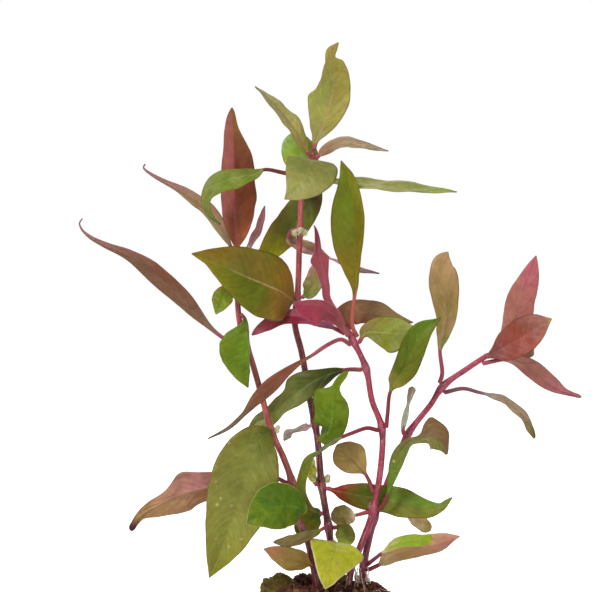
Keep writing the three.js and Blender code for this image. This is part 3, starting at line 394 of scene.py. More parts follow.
rng = random.Random(5)
stem_lines = {name: smooth_line(stem["line"]) for name, stem in STEMS.items()}
for name, line in stem_lines.items():
    stem = STEMS[name]

    def stem_point(around, along):
        centre, way = at(line, along)
        turn = 2 * math.pi * around
        swell = joint_swell(name, centre.z)
        grooves = 1 + GROOVE_DEPTH * (1 - swell) * math.cos(GROOVES * turn)
        grooves += UNEVEN * noise.noise(centre * 0.35)
        cap = math.sqrt(1 - (max(0, along - 1 + ROUNDED) / ROUNDED) ** 2 * 0.9)
        radius = stem_radius(name, centre.z) * grooves * cap
        point = centre + outward(way, FRONT, turn) * radius
        return point, (smoothstep(*stem["dark"], along), swell, 0)

    rings = round(line[0][-1] / STEM_STEP)
    made = swept(STEM_SIDES, rings, ("height", "joint", "hair"), stem_point)
    hair = made.verts.layers.float["hair"]
    for joint in stem["joints"]:
        for _ in range(HAIRS):
            height = joint + rng.uniform(-0.7, 1.5)
            centre, way = stem_place(name, height)
            out = outward(way, FRONT, rng.uniform(0, 2 * math.pi))
            lean = (out + way * rng.uniform(0.2, 1)).normalized()
            length = rng.uniform(*HAIR_LENGTH)
            where = centre + out * stem_radius(name, height) * 0.95 + lean * length / 2
            for vert in spike(made, where, lean, length, HAIR_RADII, 3):
                vert[hair] = 1
    material = dressed(
        f"stem_{name}", stem_skin, {key: rgb(code) for key, code in stem["colors"].items()},
        Subsurface_Weight=0.12, Subsurface_Scale=0.002, Specular_IOR_Level=0.5,
    )
    piece(f"grown_stem_{name}", made, material, f"stem_{name}")

# Leaves
# Thin, soft blades on short pink stalks, one piece each with its stalk, which grow in pairs from the
# joints. Every blade has a midrib that is sunk above and stands out below, side veins that curve to the
# tip, and a thin dark rim; the upper side is olive to green and the underside mostly pink to brown.

GAP = 0.3  # between a stalk and its stem
STALK_RADIUS = 0.75
LEAF_TIP = 0.25
BLADE = 0.17  # half a blade's thickness
RIB_HALF, RIB_SUNK, RIB_PROUD = 0.38, 0.12, 0.38  # half the midrib's width, its relief above and below
VEINS = 8  # pairs of side veins
VEIN_LEAN, VEIN_CURVE = 0.22, 1.3
PUFF, VEIN_DEPTH = 0.07, 0.16  # how the blade swells between its veins, and sinks at them
RIPPLES = 3
WAVES, DIMPLES = 0.5, 0.16
RAGGED = 0.025  # how the edge wanders, as a share of the width
CROWDED = 1.2  # brings the mesh's rows closer together at the midrib
SIDE_STRETCH = 40  # spreads the given widths out, so that the curve through them has no loops
USUAL_LEAF = {
    "stalk": 0, "fold": 6, "ripple": 0.3, "relief": 1, "half": 0.4, "veins": 0.15, "blotch": 0.4,
    "ribbed": 0.35, "speckles": 0, "velvet": 0, "rim_width": 0.3, "sections": (0.5, 1),
    "stalk_color": "a04c58", "tip": "",
}


def blade_width(leaf, share):
    """Half the width of a plain leaf, which is the same on both sides."""
    widest, point = leaf["widest"], leaf["point"]
    before = (share / widest) ** (point * widest)
    after = ((1 - share) / (1 - widest)) ** (point * (1 - widest))
    return leaf["wide"] * before * after


def side_width(outline, along, x):
    """Half the width on one side of a leaf whose outline is given: the smooth curve through its points."""
    reach, places = outline
    i = min(max(bisect.bisect_left(reach, along * SIDE_STRETCH), 1), len(reach) - 1)
    t = (along * SIDE_STRETCH - reach[i - 1]) / (reach[i] - reach[i - 1])
    low, high = places[i - 1], places[i]
    return low.y + (high.y - low.y) * t if x < 0 else low.z + (high.z - low.z) * t


def leaf_line(name, leaf):
    """A leaf's centre line from the surface of its stem, and the place inside the stem that it grows from."""
    stem = name.split("_")[0]
    points = [Vector(p) for p in leaf["line"]]
    height = leaf.get("height", STEMS[stem]["line"][-1][2])
    root, way = stem_place(stem, height)
    out = points[0] - root
    if "height" in leaf:
        out -= way * out.dot(way)
    reach = stem_radius(stem, height) + GAP + STALK_RADIUS / 2
    return smooth_line([root + out.normalized() * reach] + points), root + out.normalized() * 0.2


def build_leaf(name, leaf):
    """The closed mesh of one leaf, with its stalk."""
    line, root = leaf_line(name, leaf)
    stalk, wide, ripple, relief = (leaf[key] for key in ("stalk", "wide", "ripple", "relief"))
    if "sides" in leaf:
        widths = [(share * SIDE_STRETCH, low, *(high or [low])) for share, low, *high in leaf["sides"]]
        places = smooth_line(widths, 10)[1]
        outline = [p.x for p in places], places
    fold = math.radians(leaf["fold"])
    start, end = Vector(leaf["face"]), Vector(leaf.get("end", leaf["face"]))
    seed = Vector((len(name) * 3.7, wide * 9.1, line[0][-1]))
    corners = 56 if wide > 7 else 48 if wide > 4 else 36
    rings = min(max(round(line[0][-1] / 0.5), 36), 110)

    def leaf_point(around, ring):
        along = max(0, (ring * rings - 1) / (rings - 1))
        centre, way = at(line, along)
        if ring * rings < 0.5:
            centre = root
        share = min(max((along - stalk) / (1 - stalk), 0), 1)
        face, across = section(way, start.lerp(end, smoothstep(0, 1, along)))
        # x goes from one edge to the other over the upper side, and back under the leaf
        upper = around < 0.5
        t = 1 - 4 * around if upper else 4 * around - 3
        x = math.copysign(abs(t) ** CROWDED, t)
        core = STALK_RADIUS + (LEAF_TIP - STALK_RADIUS) * along
        width = side_width(outline, along, x) if "sides" in leaf else blade_width(leaf, share)
        blade = smoothstep(0.15, 1, width / core - 0.6)
        width *= 1 + RAGGED * noise.noise(seed + Vector((share * 14, math.copysign(3, x), 0)))
        width = max(core, width)
        edge = math.sqrt(max(0, 1 - x * x))
        off = abs(x) * width
        # midrib and veins
        rib = math.exp(-((off / RIB_HALF) ** 2)) * (1 - 0.6 * share)
        vein = abs((share * VEINS - abs(x) ** VEIN_CURVE * VEIN_LEAN * VEINS) % 1 - 0.5) * 2
        puff = (PUFF - VEIN_DEPTH * smoothstep(0.72, 1, vein)) * relief
        puff *= (1 - abs(x) ** 4) * smoothstep(0, 0.25, abs(x))
        puff *= min(1, wide / 5)
        thick = BLADE * edge + (puff - RIB_SUNK * rib if upper else RIB_PROUD * rib - puff)
        thick = thick * blade + core * edge * (1 - blade)
        # waves, dimples and the fold along the midrib
        wave = ripple * x * math.sin(2 * math.pi * RIPPLES * share + x) * (width / wide)
        soft = WAVES * relief * noise.noise(seed + Vector((share * 5, x * 1.4, 0)))
        soft += DIMPLES * relief * noise.noise(seed + Vector((share * 15, x * 4, 5)))
        soft *= min(1, width / wide)
        bow = math.sqrt(x * x + 0.012) - 0.11
        lift = width * bow * math.sin(fold) + wave + soft * blade + (thick if upper else -thick)
        point = centre + across * (width * x * math.cos(fold)) + face * lift
        side = 0.5 + (0.5 if upper else -0.5) * min(1, edge * 4)
        stem_like = (1 - blade) * (1 - smoothstep(0.25, 0.45, along))
        return point, (side, stem_like, off, (1 - abs(x)) * width, share, x)

    return swept(corners, rings, ("upper", "stalk", "middle", "margin", "share", "side"), leaf_point)


LEAF_COLORS = [
    "Upper base", "Upper middle", "Upper tip", "Under base", "Under middle", "Under tip",
    "Half", "Rib", "Rim", "Blotch", "Stalk", "End",
]
LEAF_AMOUNTS = [
    "Half share", "Veins", "Ribbed", "Blotches", "Speckles", "Rim width", "First", "Second", "End share",
    "Seed",
]
inputs = dict.fromkeys(LEAF_COLORS, "Color") | dict.fromkeys(LEAF_AMOUNTS, "Float")
leaf_skin, given, made = new_skin("leaf_skin", inputs)
tree = leaf_skin
where = add(tree, "ShaderNodeTexCoord").outputs["Object"]
share, side, upper = mark(tree, "share"), mark(tree, "side"), mark(tree, "upper")
middle, margin, stalk = mark(tree, "middle"), mark(tree, "margin"), mark(tree, "stalk")
large = grain(tree, where, 110, 4, 0.6)
small = grain(tree, where, 520, 4, 0.6)
fine = grain(tree, where, 2600, 2)

# from the foot to the tip, above and below, with some blotches in a colour of their own, and one half of
# the blade in a colour that is partly the leaf's own second tone and partly painted light and shade
wander = calc(tree, "ADD", share, times(tree, calc(tree, "SUBTRACT", large, 0.5), 0.35))
first = ease(tree, wander, 0, given["First"])
second = ease(tree, wander, given["First"], given["Second"])
faces = []
for name in ("Upper", "Under"):
    low = mix(tree, first, given[f"{name} base"], given[f"{name} middle"])
    faces.append(mix(tree, second, low, given[f"{name} tip"]))
color = mix(tree, ease(tree, upper, 0.4, 0.6), faces[1], faces[0])
# Half: one side of the midrib, partly the leaf's own second tone and partly painted light and shade
half = times(tree, ease(tree, side, -0.06, 0.1), given["Half share"])
color = mix(tree, times(tree, half, ease(tree, share, 0.05, 0.25)), color, given["Half"])
blotch = times(tree, ease(tree, large, 0.46, 0.66), given["Blotches"])
color = mix(tree, blotch, color, given["Blotch"])

# light and dark streaks that run with the veins, which are painted highlights and shade over the raised vein
# relief, the fine mottling of the leaf's own tones, and broad patches of painted light and shade
across = calc(tree, "POWER", calc(tree, "ABSOLUTE", side), VEIN_CURVE)
rows = calc(tree, "SUBTRACT", times(tree, share, VEINS), times(tree, across, VEIN_LEAN * VEINS))
combed = add(tree, "ShaderNodeCombineXYZ", {0: times(tree, rows, 2.6), 1: side, 2: given["Seed"]})
vein_streak_and_highlight = grain(tree, combed.outputs[0], 1.6, 4, 0.65)
# fine mottling of the leaf's own tone, times painted highlights and shade along the vein streaks
shade = times(tree, ease(tree, small, 0.3, 0.7, 0.9, 1.08), ease(tree, vein_streak_and_highlight, 0.3, 0.7, 0.88, 1.12))
# broad patches of painted light and shade
shade = times(tree, shade, ease(tree, grain(tree, where, 60, 2), 0.3, 0.7, 0.84, 1.14))
grey = add(tree, "ShaderNodeCombineColor", dict.fromkeys((0, 1, 2), shade)).outputs[0]
color = mix(tree, 1, color, grey, "MULTIPLY")

# side veins, midrib, rim, speckles, a dry tip and the stalk
vein = calc(tree, "ABSOLUTE", calc(tree, "SUBTRACT", calc(tree, "FRACT", rows), 0.5))
vein = times(tree, ease(tree, times(tree, vein, 2), 0.86, 1), ease(tree, margin, 0.3, 1.6))
vein = times(tree, vein, ease(tree, stalk, 0.5, 0, 0, 1))
vein = times(tree, vein, ease(tree, small, 0.36, 0.6, 0.3, 1))
color = mix(tree, times(tree, vein, given["Veins"]), color, given["Rib"])
rib = times(tree, ease(tree, middle, 0.45, 0.1), ease(tree, share, 0.85, 0.3, 0, 1))
rib = times(tree, rib, ease(tree, small, 0.36, 0.6, 0.5, 1))
color = mix(tree, times(tree, rib, given["Ribbed"]), color, given["Rib"])
color = mix(tree, ease(tree, margin, given["Rim width"], 0, 0, 0.85), color, given["Rim"])
spots = add(tree, "ShaderNodeTexVoronoi", {"Vector": where, "Scale": 420.0}).outputs["Distance"]
spots = times(tree, ease(tree, spots, 0.28, 0.12, 0, 1), ease(tree, large, 0.5, 0.62))
color = mix(tree, times(tree, spots, given["Speckles"]), color, rgb("cfc69a"))
color = mix(tree, times(tree, ease(tree, share, 0.9, 0.98), given["End share"]), color, given["End"])
color = mix(tree, ease(tree, stalk, 0.15, 0.9), color, given["Stalk"])
height = calc(tree, "ADD", times(tree, fine, 0.2), times(tree, vein_streak_and_highlight, 0.8))
height = calc(tree, "SUBTRACT", height, times(tree, vein, 0.4))
end_skin(tree, made, color, ease(tree, vein_streak_and_highlight, 0.3, 0.7, 0.36, 0.55), height, 0.45, 0.00018)


def leaf_material(name, leaf):
    """The finish of one leaf: the leaf skin with the leaf's own colours and amounts."""
    codes = [*leaf["colors"].split(), leaf["stalk_color"], leaf["tip"] or "000000"]
    amounts = [leaf[key] for key in ("half", "veins", "ribbed", "blotch", "speckles", "rim_width")]
    amounts += [*leaf["sections"], 1 if leaf["tip"] else 0, leaf["wide"] * 3.3]
    return dressed(
        name, leaf_skin, dict(zip(LEAF_COLORS, map(rgb, codes))) | dict(zip(LEAF_AMOUNTS, amounts)),
        Subsurface_Weight=0.15, Subsurface_Scale=0.002, Specular_IOR_Level=0.22,
        Sheen_Weight=leaf["velvet"] * 0.2,
    )


def grow(name, **leaf):
    """Makes one leaf. Its sizes are in millimetres. line: the points that the midrib passes. height: where
    it grows on its stem, or else at the top. face, end: the way that its upper side looks, at the foot and
    at the tip. wide: half the greatest width. sides: shares of the length, with half the width there, or
    that of each side; a plain leaf has instead stalk, the share that is stalk, widest, where it is widest,
    and point, how slender its ends are. fold: degrees. ripple, relief: how wavy and how puckered it is.
    colors: the first ten of LEAF_COLORS, which change at the shares in sections. half, veins, ribbed,
    blotch, speckles and velvet: how strong those are. tip: the colour of a dry tip."""
    node = f"leaf_{name}"
    leaf = USUAL_LEAF | leaf
    piece(f"grown_{name}", build_leaf(name, leaf), leaf_material(node, leaf), node)


# Leaves of the tall stem: an upright crown leaf with four round it, a thin and a curled one below, a dark
# one whose colours paint the shadow of the crown leaves over its foot, the broad bronze-olive leaf at the
# middle, and a ring of older ones at the foot.

grow(
    "tall_crown_upright", wide=7.8, fold=14, ripple=0.4, face=(-0.2, -1, 0.2), end=(0.3, -1, 0.3),
    line=[(-3.6, 1, 170.4), (-2.3, 1.8, 173.2), (-0.3, 2, 178.2), (1.3, 1.8, 184), (2.2, 1, 190.7),
        (2.2, 0, 196), (2.1, -1, 199.2), (3.7, -2, 203)],
    sides=[(0, 0.6), (0.08, 1.8, 1.4), (0.15, 3.7, 2.8), (0.3, 6.3, 5.3), (0.4, 7.6, 6.2),
        (0.47, 7.8, 6.5), (0.54, 6, 6.3), (0.65, 4.7, 5.4), (0.75, 4, 4.4), (0.81, 3.4, 3.3),
        (0.85, 3.1, 0.9), (0.92, 2.6, 0.8), (0.97, 1.2, 0.5), (1, 0.2)],
    colors="90904b 8f9846 9d8f43 a65c62 8c6f3b 9d8144 898435 b98a6c 7d5044 a7984c", half=0.75, veins=0.1,
    ribbed=0.8, blotch=0.35,
)
grow(
    "tall_crown_upper_left", wide=3.7, height=165.5, stalk=0.03, widest=0.38, point=1.6, fold=10,
    face=(0.5, -0.65, 0.5), end=(0.5, -0.6, 0.6),
    line=[(-7.2, -1, 167.8), (-9.4, -1.6, 171.9), (-12.3, -2, 176.8), (-16.2, -2.4, 181),
        (-20.6, -2.8, 185.6), (-23.9, -3, 188.4)],
    colors="968741 9c965f 8f936b a9895f a27961 8c7f62 a3a553 a68a5a 5f3f3c a19349", blotch=0.3,
)
grow(
    "tall_crown_right", wide=3, height=165.2, stalk=0.03, widest=0.34, point=1.4, fold=10, ripple=0.15,
    face=(0, 0.65, 0.75), end=(0.2, 0.6, 0.75),
    line=[(1.4, 0.2, 168.2), (6.3, 0.8, 169.7), (11, 1, 168.9), (15.5, 0.6, 167.9), (20.4, 0, 167)],
    colors="918542 aaad5d 79885c ae8267 bead86 918e84 b7a07a b98a80 7c5550 a78e57", blotch=0.3,
)
grow(
    "tall_crown_front", wide=9.8, height=162.5, fold=4, face=(0.2, -0.3, 0.95), end=(0.1, -0.9, 0.45),
    line=[(-5.2, -5.6, 163.9), (-5.2, -10.4, 163.6), (-6, -15, 161.4), (-8.2, -18.4, 158),
        (-11, -20.4, 154.4), (-14, -21.4, 151.6)],
    sides=[(0, 0.6), (0.12, 1), (0.2, 5, 4.4), (0.3, 7.6, 7), (0.42, 9.2, 8), (0.55, 9.8, 7.8),
        (0.7, 8.6, 6.2), (0.83, 5.6, 3.8), (0.93, 2.6, 1.6), (1, 0.2)],
    colors="8d884c 747f37 908c50 99604c 795f2b 92723b 858f45 9a9a5c 8a7a48 8f844b", half=0.3, veins=0.1,
    blotch=0.35,
)
grow(
    "tall_crown_back", wide=6, height=161.5, stalk=0.02, widest=0.5, point=1.1, fold=8,
    face=(0, -0.9, 0.4), end=(0, -1, 0),
    line=[(-7, 5, 161.6), (-8.8, 8, 165.2), (-10.2, 9, 169), (-11, 8.5, 173.2)],
    colors="344f02 8aaa2c a7d074 515d0f abb164 bcd0bf 7ea429 86a83c 4a6a1c 60861d", half=0.3, blotch=0.3,
)
grow(
    "tall_upper_right", wide=4.1, height=158.2, stalk=0.1, widest=0.48, point=1.6, face=(0, -0.52, 0.86),
    end=(0, -0.45, 0.9),
    line=[(0, 4, 157), (10, 6, 156), (22, 7, 155), (33, 7.5, 154), (43.5, 7.5, 153.2)],
    colors="6b823c 9ca056 859c3b 826744 9f814c 887c36 9ea358 b0b078 5c6a34 7e8b3e", half=0.5, blotch=0.3,
)
grow(
    "tall_upper_curled", wide=4.8, height=158, fold=12, face=(0.1, -0.8, 0.6), end=(-0.75, -0.65, -0.1),
    line=[(-15, 0.5, 159.8), (-20.7, -2, 160.8), (-24, -4, 159.5), (-28.3, -7, 158.6),
        (-34.7, -10, 156.8), (-39.1, -11, 152.4), (-39.5, -11, 148.6), (-37.8, -9.5, 145),
        (-35.3, -7.5, 142.8)],
    sides=[(0, 0.5), (0.26, 0.5), (0.3, 1.4, 1.2), (0.36, 2.6, 2.2), (0.42, 3.2, 2.8), (0.494, 4.2, 3.6),
        (0.58, 4.8, 4.2), (0.64, 4.4, 4.2), (0.7, 3.2, 3.4), (0.763, 2, 2.6), (0.838, 1.4, 2),
        (0.923, 1.7, 1.5), (0.97, 0.8, 0.7), (1, 0.2)],
    colors="919c3f 6d7f29 617119 d0c1a2 9c9471 72762b 60751e a8b878 566a28 90944d", half=0.35, veins=0.3,
    stalk_color="7a4038",
)
# its colours, near black at the foot and bright yellow-green at the tip, paint the shadow of the crown leaves
# over its foot
grow(
    "tall_upper_shaded", wide=5.7, height=157.2, stalk=0.05, widest=0.42, point=1.3, face=(0, -0.9, 0.5),
    end=(0.2, -1, 0.2),
    line=[(-5, 6, 155), (-6.4, 10, 149.6), (-10.2, 12.2, 143.8), (-15.4, 13, 138), (-20, 13, 132.4),
        (-24, 12, 127.6)],
    colors="291e16 5f722b e6f332 614724 a5be4b f3f344 5f6726 3c4414 20240c 79892e", half=0.3, veins=0.1,
    blotch=0.3,
)
grow(
    "tall_middle_narrow", wide=3.3, height=140.4, stalk=0.1, widest=0.4, point=1.3, fold=8,
    face=(-0.5, -0.8, 0.6), end=(0, 0.6, 0.8),
    line=[(-12, 5, 139.6), (-12.6, 7, 137.2), (-7, 8.4, 134.5), (2, 8.8, 130.5), (10, 8.6, 127.2),
        (17.6, 8, 125.8)],
    colors="bb9a7e a7936c 414231 d48b96 cea2b1 423735 d9adc1 a86a6a 5a2a38 a77a6c", blotch=0.3,
)
grow(
    "tall_middle_broad", wide=12.2, height=116.6, ripple=0.5, face=(0.1, -0.9, 0.4),
    end=(0.1, -0.9, 0.35),
    line=[(-14.5, -3, 119.8), (-20.3, -7, 122.7), (-27.8, -10.5, 126), (-34.4, -12.3, 129.2),
        (-40.2, -13.2, 131.8), (-44.7, -13.5, 133.4)],
    sides=[(0, 0.6), (0.03, 1.6, 3.6), (0.09, 5.2, 6.6), (0.16, 9.6, 8.8), (0.25, 11.6, 10.6),
        (0.38, 12.2, 10.8), (0.53, 10.4, 10.2), (0.66, 7.4, 8.8), (0.77, 4.6, 6.6), (0.87, 2, 4),
        (0.94, 1.1, 1.9), (1, 0.2)],
    colors="9e702d 596507 877714 c4684c 735b14 987726 745d15 c09a72 5c3f24 5d7010", half=0.65, veins=0.08,
    ribbed=0.75, blotch=0.55,
)
grow(
    "tall_middle_small", wide=3.4, height=118.3, stalk=0.06, widest=0.45, point=1.3, fold=10,
    face=(-0.3, -0.95, 0.2),
    line=[(-5.9, 2.6, 120), (-4, 3, 124), (-4.7, 3.6, 128.9)],
    colors="556a22 7e773f b08677 717732 9e8155 eba0b6 81823d 8a9450 4c5a28 867c36", half=0.6, blotch=0.3,
)
grow(
    "tall_low_cupped", wide=7, height=71, ripple=0.4, relief=2.4, face=(0, -0.95, 0.3),
    end=(-0.4, -0.9, 0.3),
    line=[(-1.8, -1.2, 71.8), (0.6, -5, 74), (1.8, -6.4, 79), (2, -6.8, 85), (3.4, -7.4, 90),
        (7, -8, 94.2)],
    sides=[(0, 0.6), (0.1, 2), (0.2, 4.8, 4.2), (0.3, 5.6, 5), (0.42, 5.9, 5.6), (0.56, 6.4, 5.4),
        (0.66, 7, 4.8), (0.7, 6.4, 3.4), (0.73, 3.4, 2.6), (0.77, 1.6, 1.8), (0.82, 1.4, 1.5),
        (0.9, 1.3, 1.4), (0.96, 0.9, 1), (1, 0.2)],
    colors="496803 56730b 6f8208 9f901d 737c1d 74780c 5c7407 8fae4c 3f5c18 7f8e16", half=0.3, veins=0.2,
    blotch=0.5,
)
grow(
    "tall_low_grey", wide=1.6, height=75.8, fold=12, face=(0, -0.8, 0.6), end=(0.3, -0.9, 0.3),
    line=[(-5.8, 2.6, 75.2), (-7.8, 2.4, 74.4), (-10.4, 2, 73.6), (-12.8, 1.6, 72.6), (-14.4, 1.2, 70.2)],
    sides=[(0, 1), (0.2, 1.5, 1.4), (0.4, 0.9), (0.6, 0.8, 0.9), (0.75, 1.6), (0.86, 1.3, 1.1), (1, 0.2)],
    colors="dfb9c6 8f8f7a a08f7f e8d3dd 939c85 a08f7f d2d3cd 8a5c60 5c4444 96847d", veins=0.2,
)
grow(
    "tall_foot_long", wide=5, height=53.8, fold=3, face=(0, -1, 0.12), end=(0, -0.9, 0.4),
    line=[(2.6, 2.2, 53.4), (6, 1.6, 52.8), (11, 1.2, 51.8), (19.3, 0.4, 50.7), (24.3, -0.4, 49.7),
        (29.3, -0.8, 48.4), (34.3, -1.2, 47.8), (38, -1.4, 48.4), (40, -1.5, 50), (41.8, -1.6, 51.5)],
    sides=[(0, 0.5), (0.05, 1), (0.1, 2.2, 2.4), (0.17, 3.4), (0.285, 4.5), (0.36, 4.4, 4.7),
        (0.47, 4.8, 4.6), (0.583, 5), (0.697, 4, 4.2), (0.81, 2.6, 3.2), (0.89, 1.3, 1.7), (0.95, 0.8, 1),
        (1, 0.2)],
    colors="90131d 4e6904 668426 b82833 6c6e0f 808d52 7f4120 86a040 5a2c34 4f6808", half=0.3, veins=0.28,
    sections=(0.34, 0.62),
)
grow(
    "tall_foot_small", wide=1.7, height=55.6, stalk=0.08, widest=0.5, point=1.2, fold=12,
    face=(-0.3, -0.9, 0.2),
    line=[(-4.6, 0.6, 57.2), (-4.9, -0.4, 61), (-5, -1, 65)],
    colors="a9c271 958c10 b5b06d bbcb92 978816 b5b06d 899b3a c0b880 c9c090 beb06d",
)
grow(
    "tall_foot_shaded", wide=4.2, height=45.6, stalk=0.08, widest=0.5, point=1, face=(0, -0.95, 0.3),
    end=(0, -1, 0.1),
    line=[(-2.6, 6, 45), (-6, 7, 42.4), (-9.4, 6.6, 37.6)],
    colors="326700 87932b 456e03 5a8f00 c8b253 83a40f 426b03 4f6c1c 26380c 6a9e07", veins=0.2,
)
grow(
    "tall_foot_folded", wide=2.3, height=42.5, stalk=0.3, widest=0.55, point=1.3, fold=12,
    face=(0.2, -0.6, 0.75), end=(0, -0.8, 0.5),
    line=[(0.2, -2.8, 42), (-5, -7.8, 39.8), (-12, -9.6, 37.6), (-17.8, -10.6, 37.4)],
    colors="4f5f10 978552 a88f66 5c5a18 a08058 b09070 8c8c50 9a8a58 5c4830 86904c", half=0.5, veins=0.2,
    blotch=0.5,
)
grow(
    "tall_foot_yellow", wide=10, height=36.4, relief=1.5, face=(0.2, -0.5, 0.85), end=(0, -1, 0.1),
    line=[(2.6, -4, 36.6), (2.8, -9, 35.8), (2, -13.6, 32.6), (0.8, -16.2, 28), (-0.7, -17, 22.6)],
    sides=[(0, 0.5), (0.15, 0.7), (0.25, 3.5, 5.4), (0.35, 6, 8), (0.42, 8, 8.8), (0.51, 10, 8.2),
        (0.6, 9, 7.2), (0.72, 6.4, 5.8), (0.83, 3.8, 4), (0.9, 2.7), (0.95, 1.5, 1.4), (1, 0.2)],
    colors="96a440 a9ab26 b0aa28 919661 ab9c4d b59848 a8a830 76821f e0d6a0 86961f", half=0.3, veins=0.2,
    rim_width=0.8,
)
grow(
    "tall_foot_short", wide=3.5, height=40.6, stalk=0.08, widest=0.5, point=1, fold=8,
    face=(0.2, -0.9, 0.3),
    line=[(3.9, 2.2, 41), (6, 1.4, 38.8), (6.2, 0.6, 34.8)],
    colors="676b01 829340 b1d545 927b03 959360 cfdd78 a7a342 7a8a34 3c4818 a49a42", veins=0.2,
)

# Leaves of the left stem: a red-brown upright one that shows its underside, long narrow ones with hooked
# tips, a folded green one, and the largest leaf of the plant hanging in front of a ragged pink one.

grow(
    "left_crown_upright", wide=7.3, fold=9, face=(0.25, 1, 0), end=(0.2, 1, 0),
    line=[(-30.2, -1.2, 139), (-30.6, -0.6, 147), (-30.8, 0, 156), (-30.9, 0.4, 165), (-31.1, 0.4, 173),
        (-31.6, 0, 181.4)],
    sides=[(0, 0.6), (0.04, 2, 1.6), (0.08, 3.4, 2.4), (0.2, 6, 4.3), (0.285, 6.7, 4.8), (0.35, 7.3, 5),
        (0.475, 6.9, 4.9), (0.577, 6.7, 4.6), (0.68, 5.7, 4), (0.766, 3.8, 3.6), (0.816, 2.6, 3.4),
        (0.87, 1.6, 2.9), (0.92, 1.2, 2.3), (0.97, 0.8, 1.2), (1, 0.2)],
    colors="999431 5f521b 6f7630 a8623c 6b351f 7e5c31 8e5249 a8405c 5a2c40 6e4518", half=0.9, veins=0.1,
    ribbed=1,
)
grow(
    "left_crown_hooked", wide=3, height=131, face=(0.4, 0.8, 0.5), end=(0.3, 0.8, 0.5),
    line=[(-32.5, 2.6, 136), (-36.6, 4.6, 143), (-40.4, 5.4, 147.9), (-44, 5.4, 150.6),
        (-48.4, 5.2, 153.6), (-54, 4.8, 156.6), (-59, 4.2, 159.4), (-61.2, 4, 161.4), (-60.6, 4, 162.6)],
    sides=[(0, 0.5), (0.1, 0.6), (0.2, 2), (0.34, 2.9), (0.46, 3), (0.55, 2.5), (0.66, 1.8), (0.78, 1.1),
        (0.88, 0.7), (0.95, 0.4), (1, 0.2)],
    colors="6e864e 848c44 96a27d 7d6e57 967855 a37383 908754 9a6a68 7a3f58 906d4f", half=0.5, veins=0.12,
    ribbed=0.4, blotch=0.3,
)
grow(
    "left_crown_mauve", wide=1.4, height=131.6, stalk=0.1, widest=0.5, point=1.3, fold=12,
    face=(-0.3, 0.9, 0.2),
    line=[(-25.4, 1, 136), (-22.6, 2.2, 141.4), (-20.7, 2.6, 148.6)],
    colors="c7aca6 bb7b79 cc7d71 e1b6c0 c2858e d68982 aa8289 a06a80 5a3048 c48c83", veins=0.1, blotch=0.3,
)
grow(
    "left_crown_drooping", wide=3.6, height=122.4, fold=8, face=(-0.3, -0.9, 0.3), end=(-0.2, -1, 0),
    line=[(-32.4, -2.4, 122.4), (-34.2, -2, 118.8), (-35.6, -2.4, 115.6), (-36.9, -2.8, 112.8)],
    sides=[(0, 0.5), (0.1, 0.7), (0.2, 2.4), (0.4, 3.4, 3.6), (0.6, 3.2, 3.6), (0.8, 1.9, 2.2),
        (0.93, 0.8, 1), (1, 0.2)],
    colors="6f5001 7a8e13 7a8f2f 98540d 968e3a a79d76 677a0e 7fae34 35541c 5d6e0e", veins=0.2, blotch=0.3,
)
grow(
    "left_upper_folded", wide=10.3, height=112.8, fold=45, ripple=0.2, relief=1.6, face=(-0.72, -0.69, 0),
    line=[(-26.9, -6.6, 111), (-26.2, -8, 105.5), (-25.9, -8.4, 98), (-26.2, -8, 88.7)],
    sides=[(0, 0.5), (0.08, 0.6, 0.8), (0.14, 1.8, 2.4), (0.18, 3, 3.8), (0.25, 5.2, 7), (0.38, 7.6, 9.5),
        (0.51, 8.4, 10.3), (0.64, 7.8, 9.7), (0.79, 5.8, 7.2), (0.9, 3.6, 4.4), (0.97, 1.3, 1.5),
        (1, 0.2)],
    colors="466406 598211 4a7202 75762a 83903d 728012 688315 86b040 3f5c1c 436607", half=0.5, veins=0.14,
)
grow(
    "left_upper_long", wide=3.9, height=102.6, face=(0.3, 0.9, 0.4), end=(0.3, 0.85, 0.5),
    line=[(-34.7, -2, 104.9), (-38.3, -1, 107.7), (-43, 0.4, 112.3), (-47.7, 1.4, 117),
        (-53.7, 2.2, 122.6), (-60, 2.6, 127.9), (-66.3, 2.5, 132.2), (-74, 1.8, 135.7), (-79, 0.8, 138.4),
        (-81.7, 0.2, 141), (-82.4, 0, 143), (-81.4, 0, 144.5)],
    sides=[(0, 0.5), (0.08, 0.6), (0.18, 1.1), (0.28, 2.5), (0.41, 3.9), (0.54, 3.9), (0.66, 2.7),
        (0.79, 1.5), (0.9, 0.7), (0.96, 0.3), (1, 0.2)],
    colors="82a460 6c6031 937b50 76624f 714831 a77c6e 7a5f3e 8f6a5c 8a5468 69513a", half=0.5, veins=0.12,
)
grow(
    "left_middle_broad", wide=11.2, height=73.6, ripple=0.5, face=(0.1, -1, 0.3), end=(0.1, -1, 0),
    line=[(-19, -8.4, 74), (-21.7, -11.4, 72.2), (-24.3, -13.8, 68), (-26.3, -15.2, 62.5),
        (-27.7, -15.9, 57.5), (-29.7, -16, 50.5), (-32, -15.6, 43.8), (-34.3, -15, 37.1),
        (-36.7, -14, 31.4), (-39, -13, 26)],
    sides=[(0, 0.6), (0.04, 3), (0.12, 6.8), (0.216, 9.4), (0.32, 11), (0.41, 11.2), (0.54, 10.2, 10.4),
        (0.66, 8.6), (0.786, 6.3), (0.896, 3.4), (0.96, 1.4), (1, 0.2)],
    colors="535f1b 84893d 828724 745738 917342 8b7b32 717527 7a7430 94713f 888b3e", ribbed=0.25,
    blotch=0.45, speckles=0.5,
)
